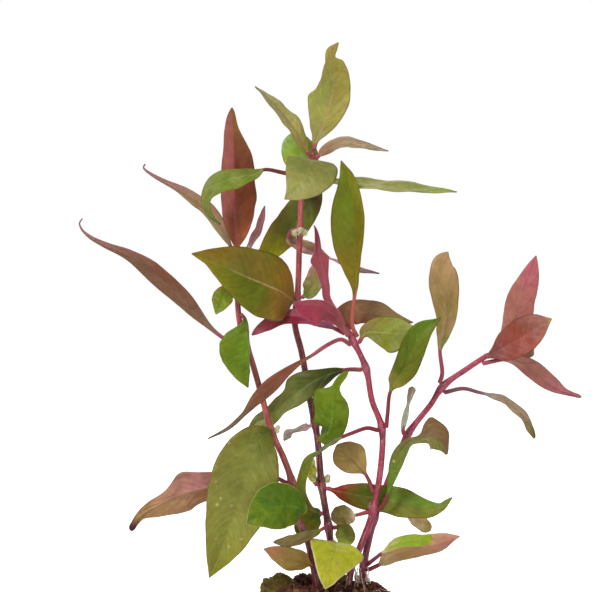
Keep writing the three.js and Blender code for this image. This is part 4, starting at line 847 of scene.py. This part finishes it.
grow(
    "left_low_ragged", wide=7.2, height=57.4, fold=4, ripple=0.5, relief=1.8, face=(0, 0.92, 0.35),
    end=(0, 0.9, 0.4),
    line=[(-17, -5.6, 58.4), (-24, -7, 59), (-32, -8, 57.6), (-39.4, -8.6, 55.6), (-46.8, -9, 54),
        (-51.6, -9, 51.8), (-57.5, -9, 48.9), (-61.8, -9.2, 46.2), (-65.2, -9.5, 41.2)],
    sides=[(0, 0.5), (0.2, 0.6), (0.28, 2, 1.8), (0.36, 4, 3.4), (0.45, 5.4, 4.6), (0.53, 6.4, 5.5),
        (0.595, 7.2, 6.8), (0.64, 5.4, 7), (0.7, 3.7, 6.4), (0.76, 3.1, 5), (0.81, 2.9, 3.9),
        (0.86, 2.2, 2.5), (0.9, 1.6), (0.95, 1.3, 1.1), (0.985, 1.2, 1), (1, 0.4)],
    colors="8e8d4f 9a9a65 837b49 b98382 c08780 a48d48 a48554 a8584c 6a4048 8e664f", half=0.75, veins=0.23,
    blotch=0.45, tip="4a2630",
)
grow(
    "left_foot_round", wide=8.1, height=47, ripple=0.4, relief=1.4, face=(0.1, -0.98, 0.2),
    line=[(-8.6, -12.4, 48.6), (-12, -16.6, 50), (-17, -20.6, 50.2), (-21.7, -22.6, 48.5),
        (-26.6, -23.6, 45.2)],
    sides=[(0, 0.5), (0.08, 0.6), (0.15, 2.2, 2), (0.22, 4.2, 4), (0.31, 5.8, 5.6), (0.39, 6.6, 6.8),
        (0.5, 7.4, 7.8), (0.6, 7.7, 8.1), (0.7, 7.3, 7.4), (0.79, 6.1, 5.8), (0.88, 4.2, 3.5),
        (0.95, 2.3, 1.5), (1, 0.2)],
    colors="457e02 4b6f02 4e6301 b2b716 797b0a 6d6304 457001 78a858 c4ba70 7e9413", veins=0.12,
    rim_width=0.4,
)
grow(
    "left_foot_tan", wide=4.4, height=29, fold=5, face=(0, 0.9, 0.4),
    line=[(-5, -9.4, 29.6), (-9, -10.4, 31), (-14, -11, 32.4), (-18, -11, 34.1), (-21, -10.8, 35.2)],
    sides=[(0, 0.5), (0.16, 0.7), (0.28, 3.2), (0.4, 4.2, 4.4), (0.55, 4.4), (0.68, 3.8, 3.6),
        (0.82, 2.8, 2.4), (0.93, 1.3, 1), (1, 0.2)],
    colors="988533 83833f 837544 9c6f29 96833f bf815e a48c44 7a5434 6c4030 896e33", veins=0.2,
)

# Leaves of the middle stem: a crimson whorl at its crown with a long olive leaf rising behind it, arched
# and wavy ones below, and old green and brown ones at the fork and the foot.

grow(
    "middle_crown_crimson", wide=3.4, fold=10, ripple=0.15, face=(-0.2, -0.95, 0.3),
    end=(0.2, -0.95, 0.2),
    line=[(4.2, -4.8, 112.4), (1.5, -4.4, 115.6), (-0.1, -4.2, 118.6), (-0.4, -4, 121.8),
        (-1.3, -4, 125.8), (-1.8, -4, 128.8), (-2.7, -4, 131.4), (-3, -4, 134.1), (-3.2, -3.9, 137.4),
        (-3.7, -3.8, 140.7), (-4.3, -3.8, 142.4)],
    sides=[(0, 0.6), (0.16, 1), (0.3, 1.3), (0.4, 1.45), (0.48, 1.7), (0.58, 2.3, 2.4), (0.635, 3, 3.2),
        (0.665, 3.2, 3.4), (0.7, 2.3, 2.9), (0.735, 1.4), (0.79, 1.15), (0.874, 0.9), (0.957, 0.5),
        (1, 0.15)],
    colors="9a3b49 92444d 67162a 9a3b49 8a3d47 5b192d 9b4d53 b86078 b0647c 823642", veins=0.12,
    blotch=0.35, velvet=1,
)
grow(
    "middle_crown_front", wide=7.3, height=106.4, face=(0.1, -0.9, 0.4), end=(0, -0.9, 0.4),
    line=[(3, -8, 111.8), (-1.2, -10.8, 115.4), (-5.2, -12.8, 116.1), (-8.3, -14.2, 116.4),
        (-11, -15.2, 117.2)],
    sides=[(0, 0.6), (0.15, 1.3, 1.1), (0.3, 2.6, 1.8), (0.42, 3.6, 2.4), (0.5, 4.4, 2.6),
        (0.6, 5.4, 2.4), (0.7, 6.9, 2.2), (0.75, 7.3, 2.1), (0.8, 6, 2), (0.88, 4.3, 1.6), (0.95, 2.4, 1),
        (1, 0.2)],
    colors="9c5d4f 8f3543 912a46 772d31 7d2937 7e2337 a14f56 ab4a64 b0607a 85303f", half=0.35, veins=0.1,
    blotch=0.35, velvet=1,
)
grow(
    "middle_crown_left", wide=3.2, height=107, stalk=0.1, widest=0.5, point=1.3, fold=8,
    face=(0, -0.75, 0.65), end=(0.2, -0.75, 0.65),
    line=[(-0.8, -3.4, 109.6), (-7.5, -2.4, 111.6), (-12.4, -2.2, 111.9), (-17, -2.2, 110.6),
        (-21, -2.4, 108.6), (-25, -2.6, 105.8)],
    colors="9b6386 8c172e d26f84 8b778f 8e2336 b76f84 af6a77 a03c54 5c1428 7c394a", half=0.5, veins=0.12,
    blotch=0.3, velvet=0.6,
)
grow(
    "middle_crown_upright", wide=8.4, height=104.4, fold=9, face=(0.1, -1, 0.1), end=(0.3, -1, 0.1),
    line=[(8.5, -3.8, 108.6), (9, -3.4, 117.4), (9.6, -3, 122.4), (9.5, -2.2, 128), (9.2, -1, 137.3),
        (8.5, -0.2, 149.3), (7, -0.5, 157), (4.7, -1.5, 163.8)],
    sides=[(0, 0.6), (0.2, 0.55, 0.5), (0.25, 0.9, 0.6), (0.295, 2, 0.9), (0.345, 3.5, 1.1),
        (0.39, 4.7, 1.5), (0.455, 6.5, 2), (0.55, 8, 3), (0.645, 8.4, 3.6), (0.765, 7.3, 3.4),
        (0.855, 4.7, 2.9), (0.915, 2.8, 2.3), (0.955, 1.6, 1.3), (1, 0.2)],
    colors="66310f 837503 6f8406 71311c a5620b 8e6a12 837606 8c8434 5c3f2c 636603", half=0.45, veins=0.2,
    blotch=0.45, sections=(0.3, 0.7), stalk_color="b05a50",
)
grow(
    "middle_crown_brown", wide=5.4, height=107, face=(0, -0.8, 0.6),
    line=[(6, 0.6, 110.8), (10.4, 3.2, 112.6), (16.4, 4.4, 112.2), (22.6, 4.6, 110.6),
        (28.8, 4.2, 109.6)],
    sides=[(0, 0.6), (0.08, 2.6, 2.4), (0.2, 4.6, 4), (0.4, 5.4, 4.6), (0.58, 5, 4.2), (0.75, 3.4, 3),
        (0.9, 1.4), (1, 0.2)],
    colors="8d5737 866f4c 80784a b57f64 9e897d 9d9b7a 724639 8f5a48 48241c 745134", half=0.5,
)
grow(
    "middle_crown_right", wide=6.8, height=103, face=(0.1, -0.95, 0.3),
    line=[(13, -6.6, 106.8), (19, -7.4, 106.8), (26, -7.8, 106.4), (32, -7.6, 106.6)],
    sides=[(0, 0.5), (0.07, 0.6), (0.15, 2.2, 1.2), (0.29, 4.8, 3), (0.4, 5.6, 4.8), (0.53, 5.8, 6.8),
        (0.62, 5.6, 6.6), (0.72, 4.8, 5), (0.85, 3), (0.94, 1.4), (1, 0.2)],
    colors="876b38 7c862b 9daf66 956a42 827337 b1a99a 6a7514 b4b878 5c5c28 929140", half=0.75, veins=0.17,
    blotch=0.35,
)
grow(
    "middle_crown_arched", wide=3.5, height=103.6, face=(-0.4, 0.6, 0.7), end=(-0.5, 0.8, 0.3),
    line=[(4.6, -7.4, 104.6), (0, -10, 102.9), (-5, -11.4, 99.6), (-9.8, -11.8, 96.6), (-16.2, -12, 91.8),
        (-22.8, -11.6, 85.2), (-27.6, -11, 80), (-33, -10, 75.2), (-39.4, -9, 71.8)],
    sides=[(0, 0.5), (0.23, 0.55), (0.325, 1.2), (0.416, 2.4), (0.52, 3.5), (0.608, 3.3), (0.69, 2.2),
        (0.757, 1.2), (0.82, 1), (0.9, 0.7), (0.96, 0.4), (1, 0.2)],
    colors="7a7f41 7a6a39 839768 93604d 8d553b 73815c 9b654f a06a5c 5c3430 7a4c33", veins=0.12,
    ribbed=0.3, blotch=0.35, tip="5c3830",
)
grow(
    "middle_upper_wavy", wide=5.6, height=94.8, fold=4, ripple=0.6, relief=1.8, face=(0.1, -1, 0.12),
    end=(0, -0.9, 0.5),
    line=[(7, -1.2, 94.2), (1, -1, 92.8), (-7, -1.4, 88.8), (-13.4, -0.6, 83.6), (-19, 0.6, 79),
        (-26.2, 1, 74.2)],
    sides=[(0, 0.5), (0.12, 0.55, 0.6), (0.18, 1.2, 1.4), (0.3, 3.2, 2.8), (0.4, 4.2, 4.6),
        (0.46, 4.4, 5.4), (0.53, 4.2, 5.6), (0.585, 4, 3.8), (0.64, 3.4, 3.2), (0.7, 2.9, 3.2),
        (0.77, 3.4, 2.8), (0.83, 3.8, 2.7), (0.9, 2.6), (0.96, 1.3, 1.5), (1, 0.2)],
    colors="883623 1e3200 859148 9c6130 394503 969e59 424f06 6a7c34 3c481c 2a3802", veins=0.23,
    blotch=0.45, sections=(0.2, 0.75), stalk_color="8a4a4c",
)
grow(
    "middle_fork_green", wide=4.5, height=74.9, fold=5, relief=1.6, face=(-0.2, -0.95, 0.2),
    end=(-0.1, -0.95, 0.3),
    line=[(20.2, -4.6, 80), (20.8, -6.8, 86.4), (22.4, -9, 90.4), (25.4, -11, 95.2), (28, -12.4, 101),
        (30.8, -13.2, 106.6), (37.4, -13.4, 112.2)],
    sides=[(0, 0.5), (0.29, 0.55), (0.34, 1.3), (0.376, 2.4, 2.6), (0.43, 3.2, 3.6), (0.51, 3.8, 4.4),
        (0.6, 4.1, 4.5), (0.7, 4.2, 4.3), (0.8, 4, 3.8), (0.88, 2.9, 2.5), (0.94, 1.4, 1.3), (1, 0.2)],
    colors="cfb063 4b5b01 53730c f3f3ef 7c6c12 967c37 707714 78a03c 35501a 536212", veins=0.3,
    blotch=0.35, stalk_color="8a3440",
)
grow(
    "middle_fork_twisted", wide=2.8, height=74.3, stalk=0.3, widest=0.42, point=1.2, fold=8, ripple=0.2,
    face=(-0.3, 0.75, 0.6), end=(-0.6, -0.8, 0),
    line=[(13.4, -6, 75), (8.7, -9.4, 73.8), (4, -11.6, 72), (-1.4, -12.8, 68.8), (-6, -12.6, 64.4),
        (-8.2, -11.6, 58), (-8, -11, 52.8), (-5.4, -10, 48.8), (-2.6, -9.6, 47)],
    colors="68bc46 637212 576614 909e6e 697614 676823 4f6016 5f843c 2c3c10 886533", veins=0.2,
    stalk_color="8a3440",
)
grow(
    "middle_low_round", wide=6, height=53, fold=4, face=(0.2, 0.92, 0.3), end=(0.2, 0.92, 0.2),
    line=[(14.2, 0.8, 56.6), (12.6, 1.4, 59.4), (9.4, 1.4, 63), (6, 0.8, 66.4), (3.4, -0.2, 69)],
    sides=[(0, 0.6), (0.28, 0.55), (0.36, 1), (0.45, 3, 3.2), (0.55, 4.6, 5), (0.65, 5.6, 6),
        (0.75, 5.8, 6), (0.86, 4.8), (0.94, 3, 2.8), (1, 0.5)],
    colors="827c54 a49b4b 83753b 855858 b49d5a 83753f a99755 7d3640 33201c 907b3e", veins=0.38,
    ribbed=0.9, stalk_color="9a4450",
)
grow(
    "middle_low_strap", wide=6.6, height=47.6, fold=8, ripple=0.25, relief=1.6, face=(-0.6, -0.6, 0.4),
    end=(0.3, -0.9, 0.3),
    line=[(19.4, -4.2, 50), (20.7, -4.6, 54.2), (21.7, -5, 58.3), (23, -5.4, 63.3), (24.7, -5.8, 67.3),
        (27.3, -6, 70.3), (30.7, -6.4, 71.3), (34, -6.8, 72.3), (36.7, -7, 71.6), (39, -7.6, 68.6),
        (39.7, -8, 66.4)],
    sides=[(0, 0.5), (0.09, 0.55), (0.2, 0.9), (0.3, 1.7, 1.9), (0.42, 2.5, 2.7), (0.52, 2.3, 2.5),
        (0.62, 1.4, 1.5), (0.68, 1.3), (0.73, 2, 1.8), (0.765, 4.4, 2.6), (0.79, 6.6, 3.6),
        (0.82, 5.8, 4.6), (0.86, 4.8, 5), (0.91, 2.8, 3.8), (0.95, 1.5, 2.2), (1, 0.4)],
    colors="411a04 4e860e 725b3b 56340e 678629 806c52 6f8833 7a9434 4c6420 7d6d36", half=0.35, veins=0.25,
    blotch=0.3, speckles=0.7, sections=(0.1, 0.82), stalk_color="7a3c38",
)
grow(
    "middle_low_short", wide=4, height=46, stalk=0.34, widest=0.5, point=1, fold=8, face=(0, -0.8, 0.6),
    line=[(9, -3.6, 45.6), (6, -4.6, 45.6), (1.4, -5.6, 44.6)],
    colors="b7a282 5d5413 414001 c6aac8 61541e 444002 5e5c29 9a9a58 5c5828 876f4b", veins=0.2,
    stalk_color="96444c",
)

# Leaves of the right stem: rose-coloured at the crown, tan and speckled at the fork, and three at the foot
# of which the lime one lies over the pink one.

grow(
    "right_crown_upright", wide=5, stalk=0.04, widest=0.44, point=1.5, face=(0, -1, 0.15),
    end=(0, -1, 0.1),
    line=[(60.2, 12.4, 102.4), (63.2, 13, 107), (64.4, 13, 111.4), (65.4, 13, 117), (67.8, 13, 123),
        (70.4, 12.5, 131.6)],
    colors="bf8979 a56b5b bf5e75 a6726e 8c5a4f a34e53 ad6663 b8706c 7a3c50 a56252", blotch=0.35,
    velvet=0.5,
)
grow(
    "right_crown_broad", wide=6.2, height=97.8, face=(0.1, -0.9, 0.45),
    line=[(59.6, 8.4, 101), (64.6, 6.4, 104.2), (70, 5.2, 107.8), (75.2, 4.6, 110.8)],
    sides=[(0, 0.5), (0.1, 1.8, 2.2), (0.25, 4.6, 5), (0.45, 6, 6.2), (0.6, 6.2), (0.75, 5.4, 5),
        (0.85, 4, 3.4), (0.93, 2, 1.6), (1, 0.2)],
    colors="824949 914534 a36f5f 744543 8c4237 9b6664 985347 a86458 5f3430 7a4134", half=0.35, velvet=0.3,
    tip="a08048",
)
grow(
    "right_crown_lower", wide=3.3, height=96.6, face=(0, 0.9, 0.4),
    line=[(60.4, 11, 96.8), (64.3, 11.2, 96), (69.3, 11, 93.3), (74.3, 10.7, 89.3), (79.3, 10.4, 86.3),
        (85.6, 10, 84.1)],
    sides=[(0, 0.5), (0.15, 0.55), (0.26, 1.5, 1.4), (0.38, 2.8, 2.7), (0.5, 3.3), (0.62, 3.2),
        (0.75, 2.3), (0.83, 1.4, 1.3), (0.92, 0.9), (0.98, 0.7), (1, 0.3)],
    colors="b6dd85 81654a 894952 d0a28c a3685c a65370 a8766b a06460 6c3050 a8765b", blotch=0.35,
    velvet=0.3,
)
grow(
    "right_crown_hidden", wide=4, height=98, stalk=0.1, widest=0.6, point=1.2, face=(0, -0.7, 0.7),
    line=[(59.5, 15, 100), (64.5, 16, 100.6), (70, 16.4, 98)],
    colors="8a5c50 8a6a54 98a07c 8a5c50 8a6a54 98a07c 8a5054 9a6a60 6c3c44 a0a884",
)
grow(
    "right_fork_tan", wide=5.1, height=87.8, fold=5, ripple=0.35, face=(0, 1, 0.1), end=(-0.2, 1, 0.1),
    line=[(38.8, 9.4, 92), (38, 8.4, 100.3), (39, 7.8, 105.3), (40, 7.4, 110.9), (39.7, 7, 116.9),
        (39.2, 6.8, 123.6), (38.8, 6.4, 128.6), (40.5, 6, 133.2)],
    sides=[(0, 0.5), (0.22, 0.5), (0.27, 0.9, 0.8), (0.33, 1.9, 1.6), (0.366, 2.3, 2.2),
        (0.494, 3.5, 3.3), (0.628, 4.7, 4.4), (0.72, 5.1, 5), (0.8, 5), (0.87, 4.2), (0.93, 2.8, 3.4),
        (0.975, 1, 1.8), (1, 0.2)],
    colors="7ca261 7d823c 9d935c 8ba261 8c7b3f c09c6e 968048 a88464 5c4830 b29969", veins=0.25,
    blotch=0.5, speckles=0.35, stalk_color="a04c5c",
)
grow(
    "right_fork_drooping", wide=2, height=86.8, stalk=0.32, widest=0.62, point=1.1,
    face=(0.2, -0.6, 0.75), end=(0.7, -0.7, 0.1),
    line=[(46, 12, 86.8), (51, 12, 85.6), (57.7, 11.4, 83.9), (63.2, 10.8, 80.6), (67.2, 10, 76),
        (69.9, 9.6, 70.2)],
    colors="8b8a8a 95836d 686409 9d9899 a3817e 746213 927d50 9a7c5c 54443c 9d8e66", speckles=0.3,
    stalk_color="84545c",
)
grow(
    "right_low_grey", wide=1.4, height=71.2, fold=10, ripple=0.2, face=(-0.4, -0.9, 0),
    end=(0.4, -0.9, 0.1),
    line=[(25.6, 6.4, 73.4), (26.4, 6.4, 77.6), (27.2, 6.2, 81.8), (28, 6, 85), (28.8, 6, 88)],
    sides=[(0, 0.5), (0.15, 0.8, 0.7), (0.35, 1.1, 1), (0.5, 0.9, 0.8), (0.62, 0.5), (0.75, 1, 0.9),
        (0.88, 1.4, 1.3), (0.96, 1.4, 1.3), (1, 0.3)],
    colors="9db395 aa9e8c 8e6d5a 8cd28a 958c76 886653 b2cca0 6c7c58 5c5850 bdccad", blotch=0.3,
)
grow(
    "right_foot_pale", wide=2.6, height=47.4, stalk=0.4, widest=0.62, point=1.1, face=(0, -0.9, 0.4),
    end=(0.2, -0.9, 0.3),
    line=[(20.6, 7, 48.8), (24, 6.4, 48.6), (28.4, 5, 45.4), (31.4, 4, 42.4), (34.8, 3, 39.8)],
    colors="c5b769 f3d0aa b5ac5f cdb76e efc194 c3b464 d6ce91 948458 6c6444 aaaa57", veins=0.2,
)
grow(
    "right_foot_pink", wide=4.5, height=26.9, ripple=0.2, face=(0, 0.85, 0.5),
    line=[(18.3, 1, 29), (21.7, 0.2, 31.7), (26, -0.3, 33.3), (31, -0.6, 34.7), (36.3, -0.8, 35.8),
        (41, -0.8, 37.3), (44.4, -0.6, 38.3)],
    sides=[(0, 0.5), (0.12, 0.6), (0.17, 1.8, 1.6), (0.22, 2.8, 2.6), (0.34, 3.6, 3.8), (0.47, 3.9),
        (0.62, 4.5, 4.2), (0.7, 4.4, 4.2), (0.77, 4), (0.86, 2.8, 3.1), (0.93, 1.4, 1.7), (1, 0.2)],
    colors="b1bf7d 968d4c 9a646a bdb682 b68d56 c38379 cba07d 9a6454 8a5450 ad855f", ribbed=0.3,
)
grow(
    "right_foot_lime", wide=3.1, height=28.8, stalk=0.3, widest=0.6, point=1, fold=5, ripple=0.2,
    face=(-0.2, -0.6, 0.8), end=(0, -0.6, 0.8),
    line=[(16.2, -1, 31), (21.4, -5.4, 35.4), (26, -6.6, 37.2), (30.4, -7, 37.6), (35.2, -7, 38.4)],
    colors="e0c68f 8ba227 88a40f f3d8f3 a09777 959632 849f28 9cc048 b8b45c 7c981c", half=0.3, blotch=0.35,
    stalk_color="94505c",
)

# Flower tufts
# Small papery heads that sit close to the stem at three joints, each a ball of narrow pointed bracts,
# cream at the top of the plant and turning pink-brown lower down.

FLOWERS = {  # heads: the angles at which they sit round the stem
    "tall_upper": {"stem": "tall", "height": 140, "radius": 1.5, "heads": [-130, -90, -50], "faded": 0.1},
    "tall_lower": {
        "stem": "tall", "height": 57.2, "radius": 1.5, "heads": [-20, 15, 50, 90, 130, 165], "faded": 0.6,
    },
    "left": {"stem": "left", "height": 74.6, "radius": 1.3, "heads": [-25, 10, 45], "faded": 0.3},
}
HEAD_STAGGER = 0.9
BRACTS = 30
BRACT_RADII = (0.36, 0.04)
BRACT_FLAT = 0.4
GOLDEN_ANGLE = 2.39996


def polar(radius, angle, height):
    """The point at a radius and an angle round the upright axis, at a height."""
    return Vector((radius * math.cos(angle), radius * math.sin(angle), height))


flower_skin, given, made = new_skin("flower_skin", {"Faded": "Float"})
tree = flower_skin
cells = grain(tree, add(tree, "ShaderNodeTexCoord").outputs["Object"], 900, 3)
color = mix(tree, mark(tree, "tip"), rgb("b8bc7a"), rgb("fbf8de"))
color = mix(tree, times(tree, ease(tree, cells, 0.4, 0.62), given["Faded"]), color, rgb("b07a68"))
end_skin(tree, made, color, ease(tree, cells, 0.3, 0.7, 0.6, 0.85), cells, 0.4, 0.0001)

for name, tuft in FLOWERS.items():
    size = tuft["radius"]
    made = bmesh.new()
    tip = made.verts.layers.float.new("tip")
    centre, way = stem_place(tuft["stem"], tuft["height"])
    reach = stem_radius(tuft["stem"], tuft["height"]) + size * 0.8
    for i, degrees in enumerate(tuft["heads"]):
        lift = (0.5 if i % 2 else -0.5) * HEAD_STAGGER
        head = centre + polar(reach, math.radians(degrees), lift)
        spot = Matrix.Translation(head * MM)
        bmesh.ops.create_icosphere(made, subdivisions=2, radius=size * 0.55 * MM, matrix=spot)
        for k in range(BRACTS):
            high = 1 - 2 * (k + 0.5) / BRACTS
            turn = k * GOLDEN_ANGLE + rng.uniform(-0.2, 0.2)
            out = polar(math.sqrt(1 - high * high), turn, high)
            out = (out + Vector((0, 0, 0.35))).normalized()
            length = size * rng.uniform(0.7, 1.25)
            root = head + out * (length / 2 + 0.05)
            for vert in spike(made, root, out, length, BRACT_RADII, 6, BRACT_FLAT):
                vert[tip] = smoothstep(0.3, 0.9, (vert.co / MM - head).length / size)
    material = dressed(f"flowers_{name}", flower_skin, {"Faded": tuft["faded"]}, Specular_IOR_Level=0.2)
    piece(f"grown_flowers_{name}", made, material, f"flowers_{name}")

# The growing plug
# A root ball of dark, damp fibre that has taken the round shape of its pot, with a flat underside. Mossy
# and crumbly hummocks stand on its top, and pale, pink and brown roots run over it and down its sides.

PLUG_RADIUS = 21.5
PLUG_HEIGHT = 21
PLUG_SIDES, PLUG_RINGS = 150, 78
WALL = 0.7  # the share of the rings that lie on the wall, while the others lie on the top
CRUMBLY, HUMMOCK_CRUMBLY = 1.5, 2.2  # how far the surface stands in and out
HUMMOCKS = [  # place, radius, how mossy
    ((-15.5, 3, 18), 7.5, 1), ((-7, 8, 18.4), 6.5, 0.3), ((16.5, 2, 15.5), 6.5, 0.2),
    ((4, 13, 17), 7, 0.5), ((5, -9, 16), 6.5, 0), ((-9, -9, 15.5), 6.5, 0), ((-4, -3, 17), 5.5, 0),
    ((11, -2, 16.5), 6, 0),
]
CRUMBS = 260
ROOTS, ROOT_STEP = 150, 1.1  # roots that creep over the plug
LOOPS = 60  # roots that arch over its top
STRANDS = 44  # new roots that run down from the stems
STRAND_FEET = [Vector((8.3, -3.2, 0)), Vector((12.3, 2.5, 0)), Vector((10.4, -1.4, 0))]
ROOT_THIN = 0.7  # how much thinner a root is at its end
ASLANT = Vector((0.01, 0.02, 1))  # so that no root runs just along it
DARK, BROWN, PINK, WHITE = 0.25, 0.5, 0.75, 1
ROOT_SHADES = {DARK: "3d1216", BROWN: "8f4a48", PINK: "c08a84", WHITE: "e8d8c4"}


def plug_radius(angle, along):
    """The plug's radius at an angle from the right and a share of its height, as its solid has it."""
    turn = math.pi / 2 - angle
    lumps = 1 + 0.04 * math.sin(3 * turn + 4 * along) + 0.03 * math.sin(7 * turn - 5 * along)
    return PLUG_RADIUS * lumps * (1 - 0.22 * along ** 4 - 0.08 * (1 - along) ** 3)


def crumbled(point, amount):
    """How far the crumbly surface stands out at a point."""
    coarse = noise.noise(point * 0.28)
    middle = noise.noise(point * 0.8 + Vector((5, 0, 0)))
    fine = abs(noise.noise(point * 2.1 + Vector((0, 9, 0))))
    return amount * (0.5 * coarse + 0.45 * middle - 0.5 * fine)


def plug_point(around, along):
    angle = 2 * math.pi * around
    out = polar(1, angle, 0)
    wall = min(along / WALL, 1)
    inward = max(0, (along - WALL) / (1 - WALL))
    radius = plug_radius(angle, wall) * (1 - inward * 0.97)
    point = out * radius + Vector((0, 0, PLUG_HEIGHT * wall))
    rough = crumbled(point, CRUMBLY)
    point += out * rough * (1 - inward) * smoothstep(0, 0.12, wall)
    point.z += rough * inward * 1.2 - 0.8 * smoothstep(0, 1, inward)
    return point, (0.15 + 0.3 * noise.noise(point * 0.12), 0)


made = swept(PLUG_SIDES, PLUG_RINGS, ("moss", "tone"), plug_point)
moss, tone = (made.verts.layers.float[name] for name in ("moss", "tone"))
for place, radius, mossy in HUMMOCKS:
    centre = Vector(place)
    ball = bmesh.ops.create_icosphere(made, subdivisions=5, radius=1, matrix=Matrix())
    for vert in ball["verts"]:
        out = vert.co.normalized()
        point = centre + out * radius
        vert.co = (point + out * (crumbled(point, HUMMOCK_CRUMBLY) - 0.3)) * MM
        vert[moss] = mossy * smoothstep(-0.2, 0.6, out.z + 0.3)
        for face in vert.link_faces:
            face.smooth = True
rng = random.Random(11)
for _ in range(CRUMBS):
    angle = rng.uniform(0, 2 * math.pi)
    if rng.random() < 0.55:
        along = 1
        reach = plug_radius(angle, 1) * math.sqrt(rng.uniform(0.05, 1))
    else:
        along = rng.uniform(0.12, 1)
        reach = plug_radius(angle, along)
    size = rng.uniform(0.5, 1.5)
    centre = polar(reach, angle, max(PLUG_HEIGHT * along + 0.2, size * 1.1))
    ball = bmesh.ops.create_icosphere(made, subdivisions=2, radius=1, matrix=Matrix())
    stretch = Vector((rng.uniform(0.7, 1.3), rng.uniform(0.7, 1.3), rng.uniform(0.6, 1)))
    green = rng.random() ** 3 * 0.7
    for vert in ball["verts"]:
        out = vert.co.normalized()
        lumpy = 1 + 0.35 * noise.noise(centre + out * 1.7)
        vert.co = (centre + out * stretch * size * lumpy) * MM
        vert[moss] = green
        vert[tone] = 0


def add_root(path, thick, shade):
    """Joins one root, thinning along its path, to the plug's mesh."""
    line = smooth_line(path, 4)

    def root_point(around, share):
        centre, way = at(line, share)
        radius = thick * (1 - ROOT_THIN * share) * (1 + 0.2 * noise.noise(centre * 1.3))
        point = centre + outward(way, ASLANT, 2 * math.pi * around) * radius
        point.z = max(point.z, 0.05)
        return point, (0, shade)

    root = mesh_of("root", swept(6, len(path) * 2, ("moss", "tone"), root_point))
    made.from_mesh(root)
    bpy.data.meshes.remove(root)


for _ in range(ROOTS):
    angle, along = rng.uniform(0, 2 * math.pi), rng.uniform(0.1, 0.98)
    heading = rng.uniform(0, 2 * math.pi)
    thick = rng.choice((0.12, 0.15, 0.2, 0.28))
    path = []
    for _ in range(rng.randint(14, 34)):
        radius = plug_radius(angle, along)
        point = polar(radius, angle, PLUG_HEIGHT * along)
        path.append(point + polar(1, angle, 0) * (crumbled(point, CRUMBLY) + thick * 0.6))
        heading += rng.uniform(-0.6, 0.6)
        angle += ROOT_STEP * math.cos(heading) / radius
        along += ROOT_STEP * math.sin(heading) / PLUG_HEIGHT
        if not 0.04 < along < 0.99:
            heading = -heading
            along = min(max(along, 0.04), 0.99)
    add_root(path, thick, rng.choice((DARK, DARK, BROWN, BROWN, BROWN, PINK, WHITE)))
for _ in range(LOOPS):
    turn, reach = rng.uniform(0, 2 * math.pi), rng.uniform(2, 15)
    centre = Vector((reach * math.cos(turn) + 1, reach * math.sin(turn) - 1, 20.5))
    swing, wide, high = rng.uniform(0, 2 * math.pi), rng.uniform(1.5, 4.5), rng.uniform(1, 4)
    path = []
    for step in range(9):
        share = step / 8
        bend = polar(1, swing + share, 0) * (share - 0.5) * 2 * wide
        path.append(centre + bend + Vector((0, 0, high * math.sin(math.pi * share) - 0.8)))
    add_root(path, rng.uniform(0.16, 0.36), rng.choice((DARK, DARK, DARK, BROWN, PINK)))
for _ in range(STRANDS):
    foot = rng.choice(STRAND_FEET)
    out = polar(1, rng.uniform(-2.9, -0.2), 0)
    reach, height = 1.3, rng.uniform(23, 28)
    path = []
    for _ in range(rng.randint(6, 10)):
        wobble = Vector((rng.uniform(-0.35, 0.35), rng.uniform(-0.3, 0.3), 0))
        path.append(foot + out * reach + wobble + Vector((0, 0, height)))
        steep = height > 21.5
        reach += 0.35 if steep else 1.2
        height -= 1.3 if steep else 0.25
    add_root(path, rng.uniform(0.16, 0.3), rng.choice((BROWN, PINK, WHITE, WHITE)))

soil_skin, given, out = new_skin("soil_skin", {})
tree = soil_skin
where = add(tree, "ShaderNodeTexCoord").outputs["Object"]
coarse = grain(tree, where, 160, 4, 0.65)
crumbs_and_highlights = grain(tree, where, 700, 5, 0.7)
color = mix(tree, ease(tree, coarse, 0.35, 0.65), rgb("2a0f0e"), rgb("6a3426"))
# lighter red-brown on the raised crumbs: partly the soil's own red crumbs, partly painted highlights on their
# tops
color = mix(tree, ease(tree, crumbs_and_highlights, 0.5, 0.75, 0, 0.8), color, rgb("a5654a"))
green = times(tree, ease(tree, mark(tree, "moss"), 0.2, 0.8), ease(tree, crumbs_and_highlights, 0.25, 0.6, 0.5, 1))
mossy = mix(tree, ease(tree, coarse, 0.4, 0.62), rgb("6b5020"), rgb("8c8438"))
color = mix(tree, green, color, mossy)
strand = mark(tree, "tone")
for shade, code in ROOT_SHADES.items():
    color = mix(tree, ease(tree, strand, shade - 0.25, shade), color, rgb(code))
end_skin(tree, out, color, ease(tree, crumbs_and_highlights, 0.3, 0.7, 0.65, 0.95), crumbs_and_highlights, 0.8, 0.0006)
piece("grown_plug", made, dressed("plug", soil_skin, {}, Specular_IOR_Level=0.25), "growing_plug")
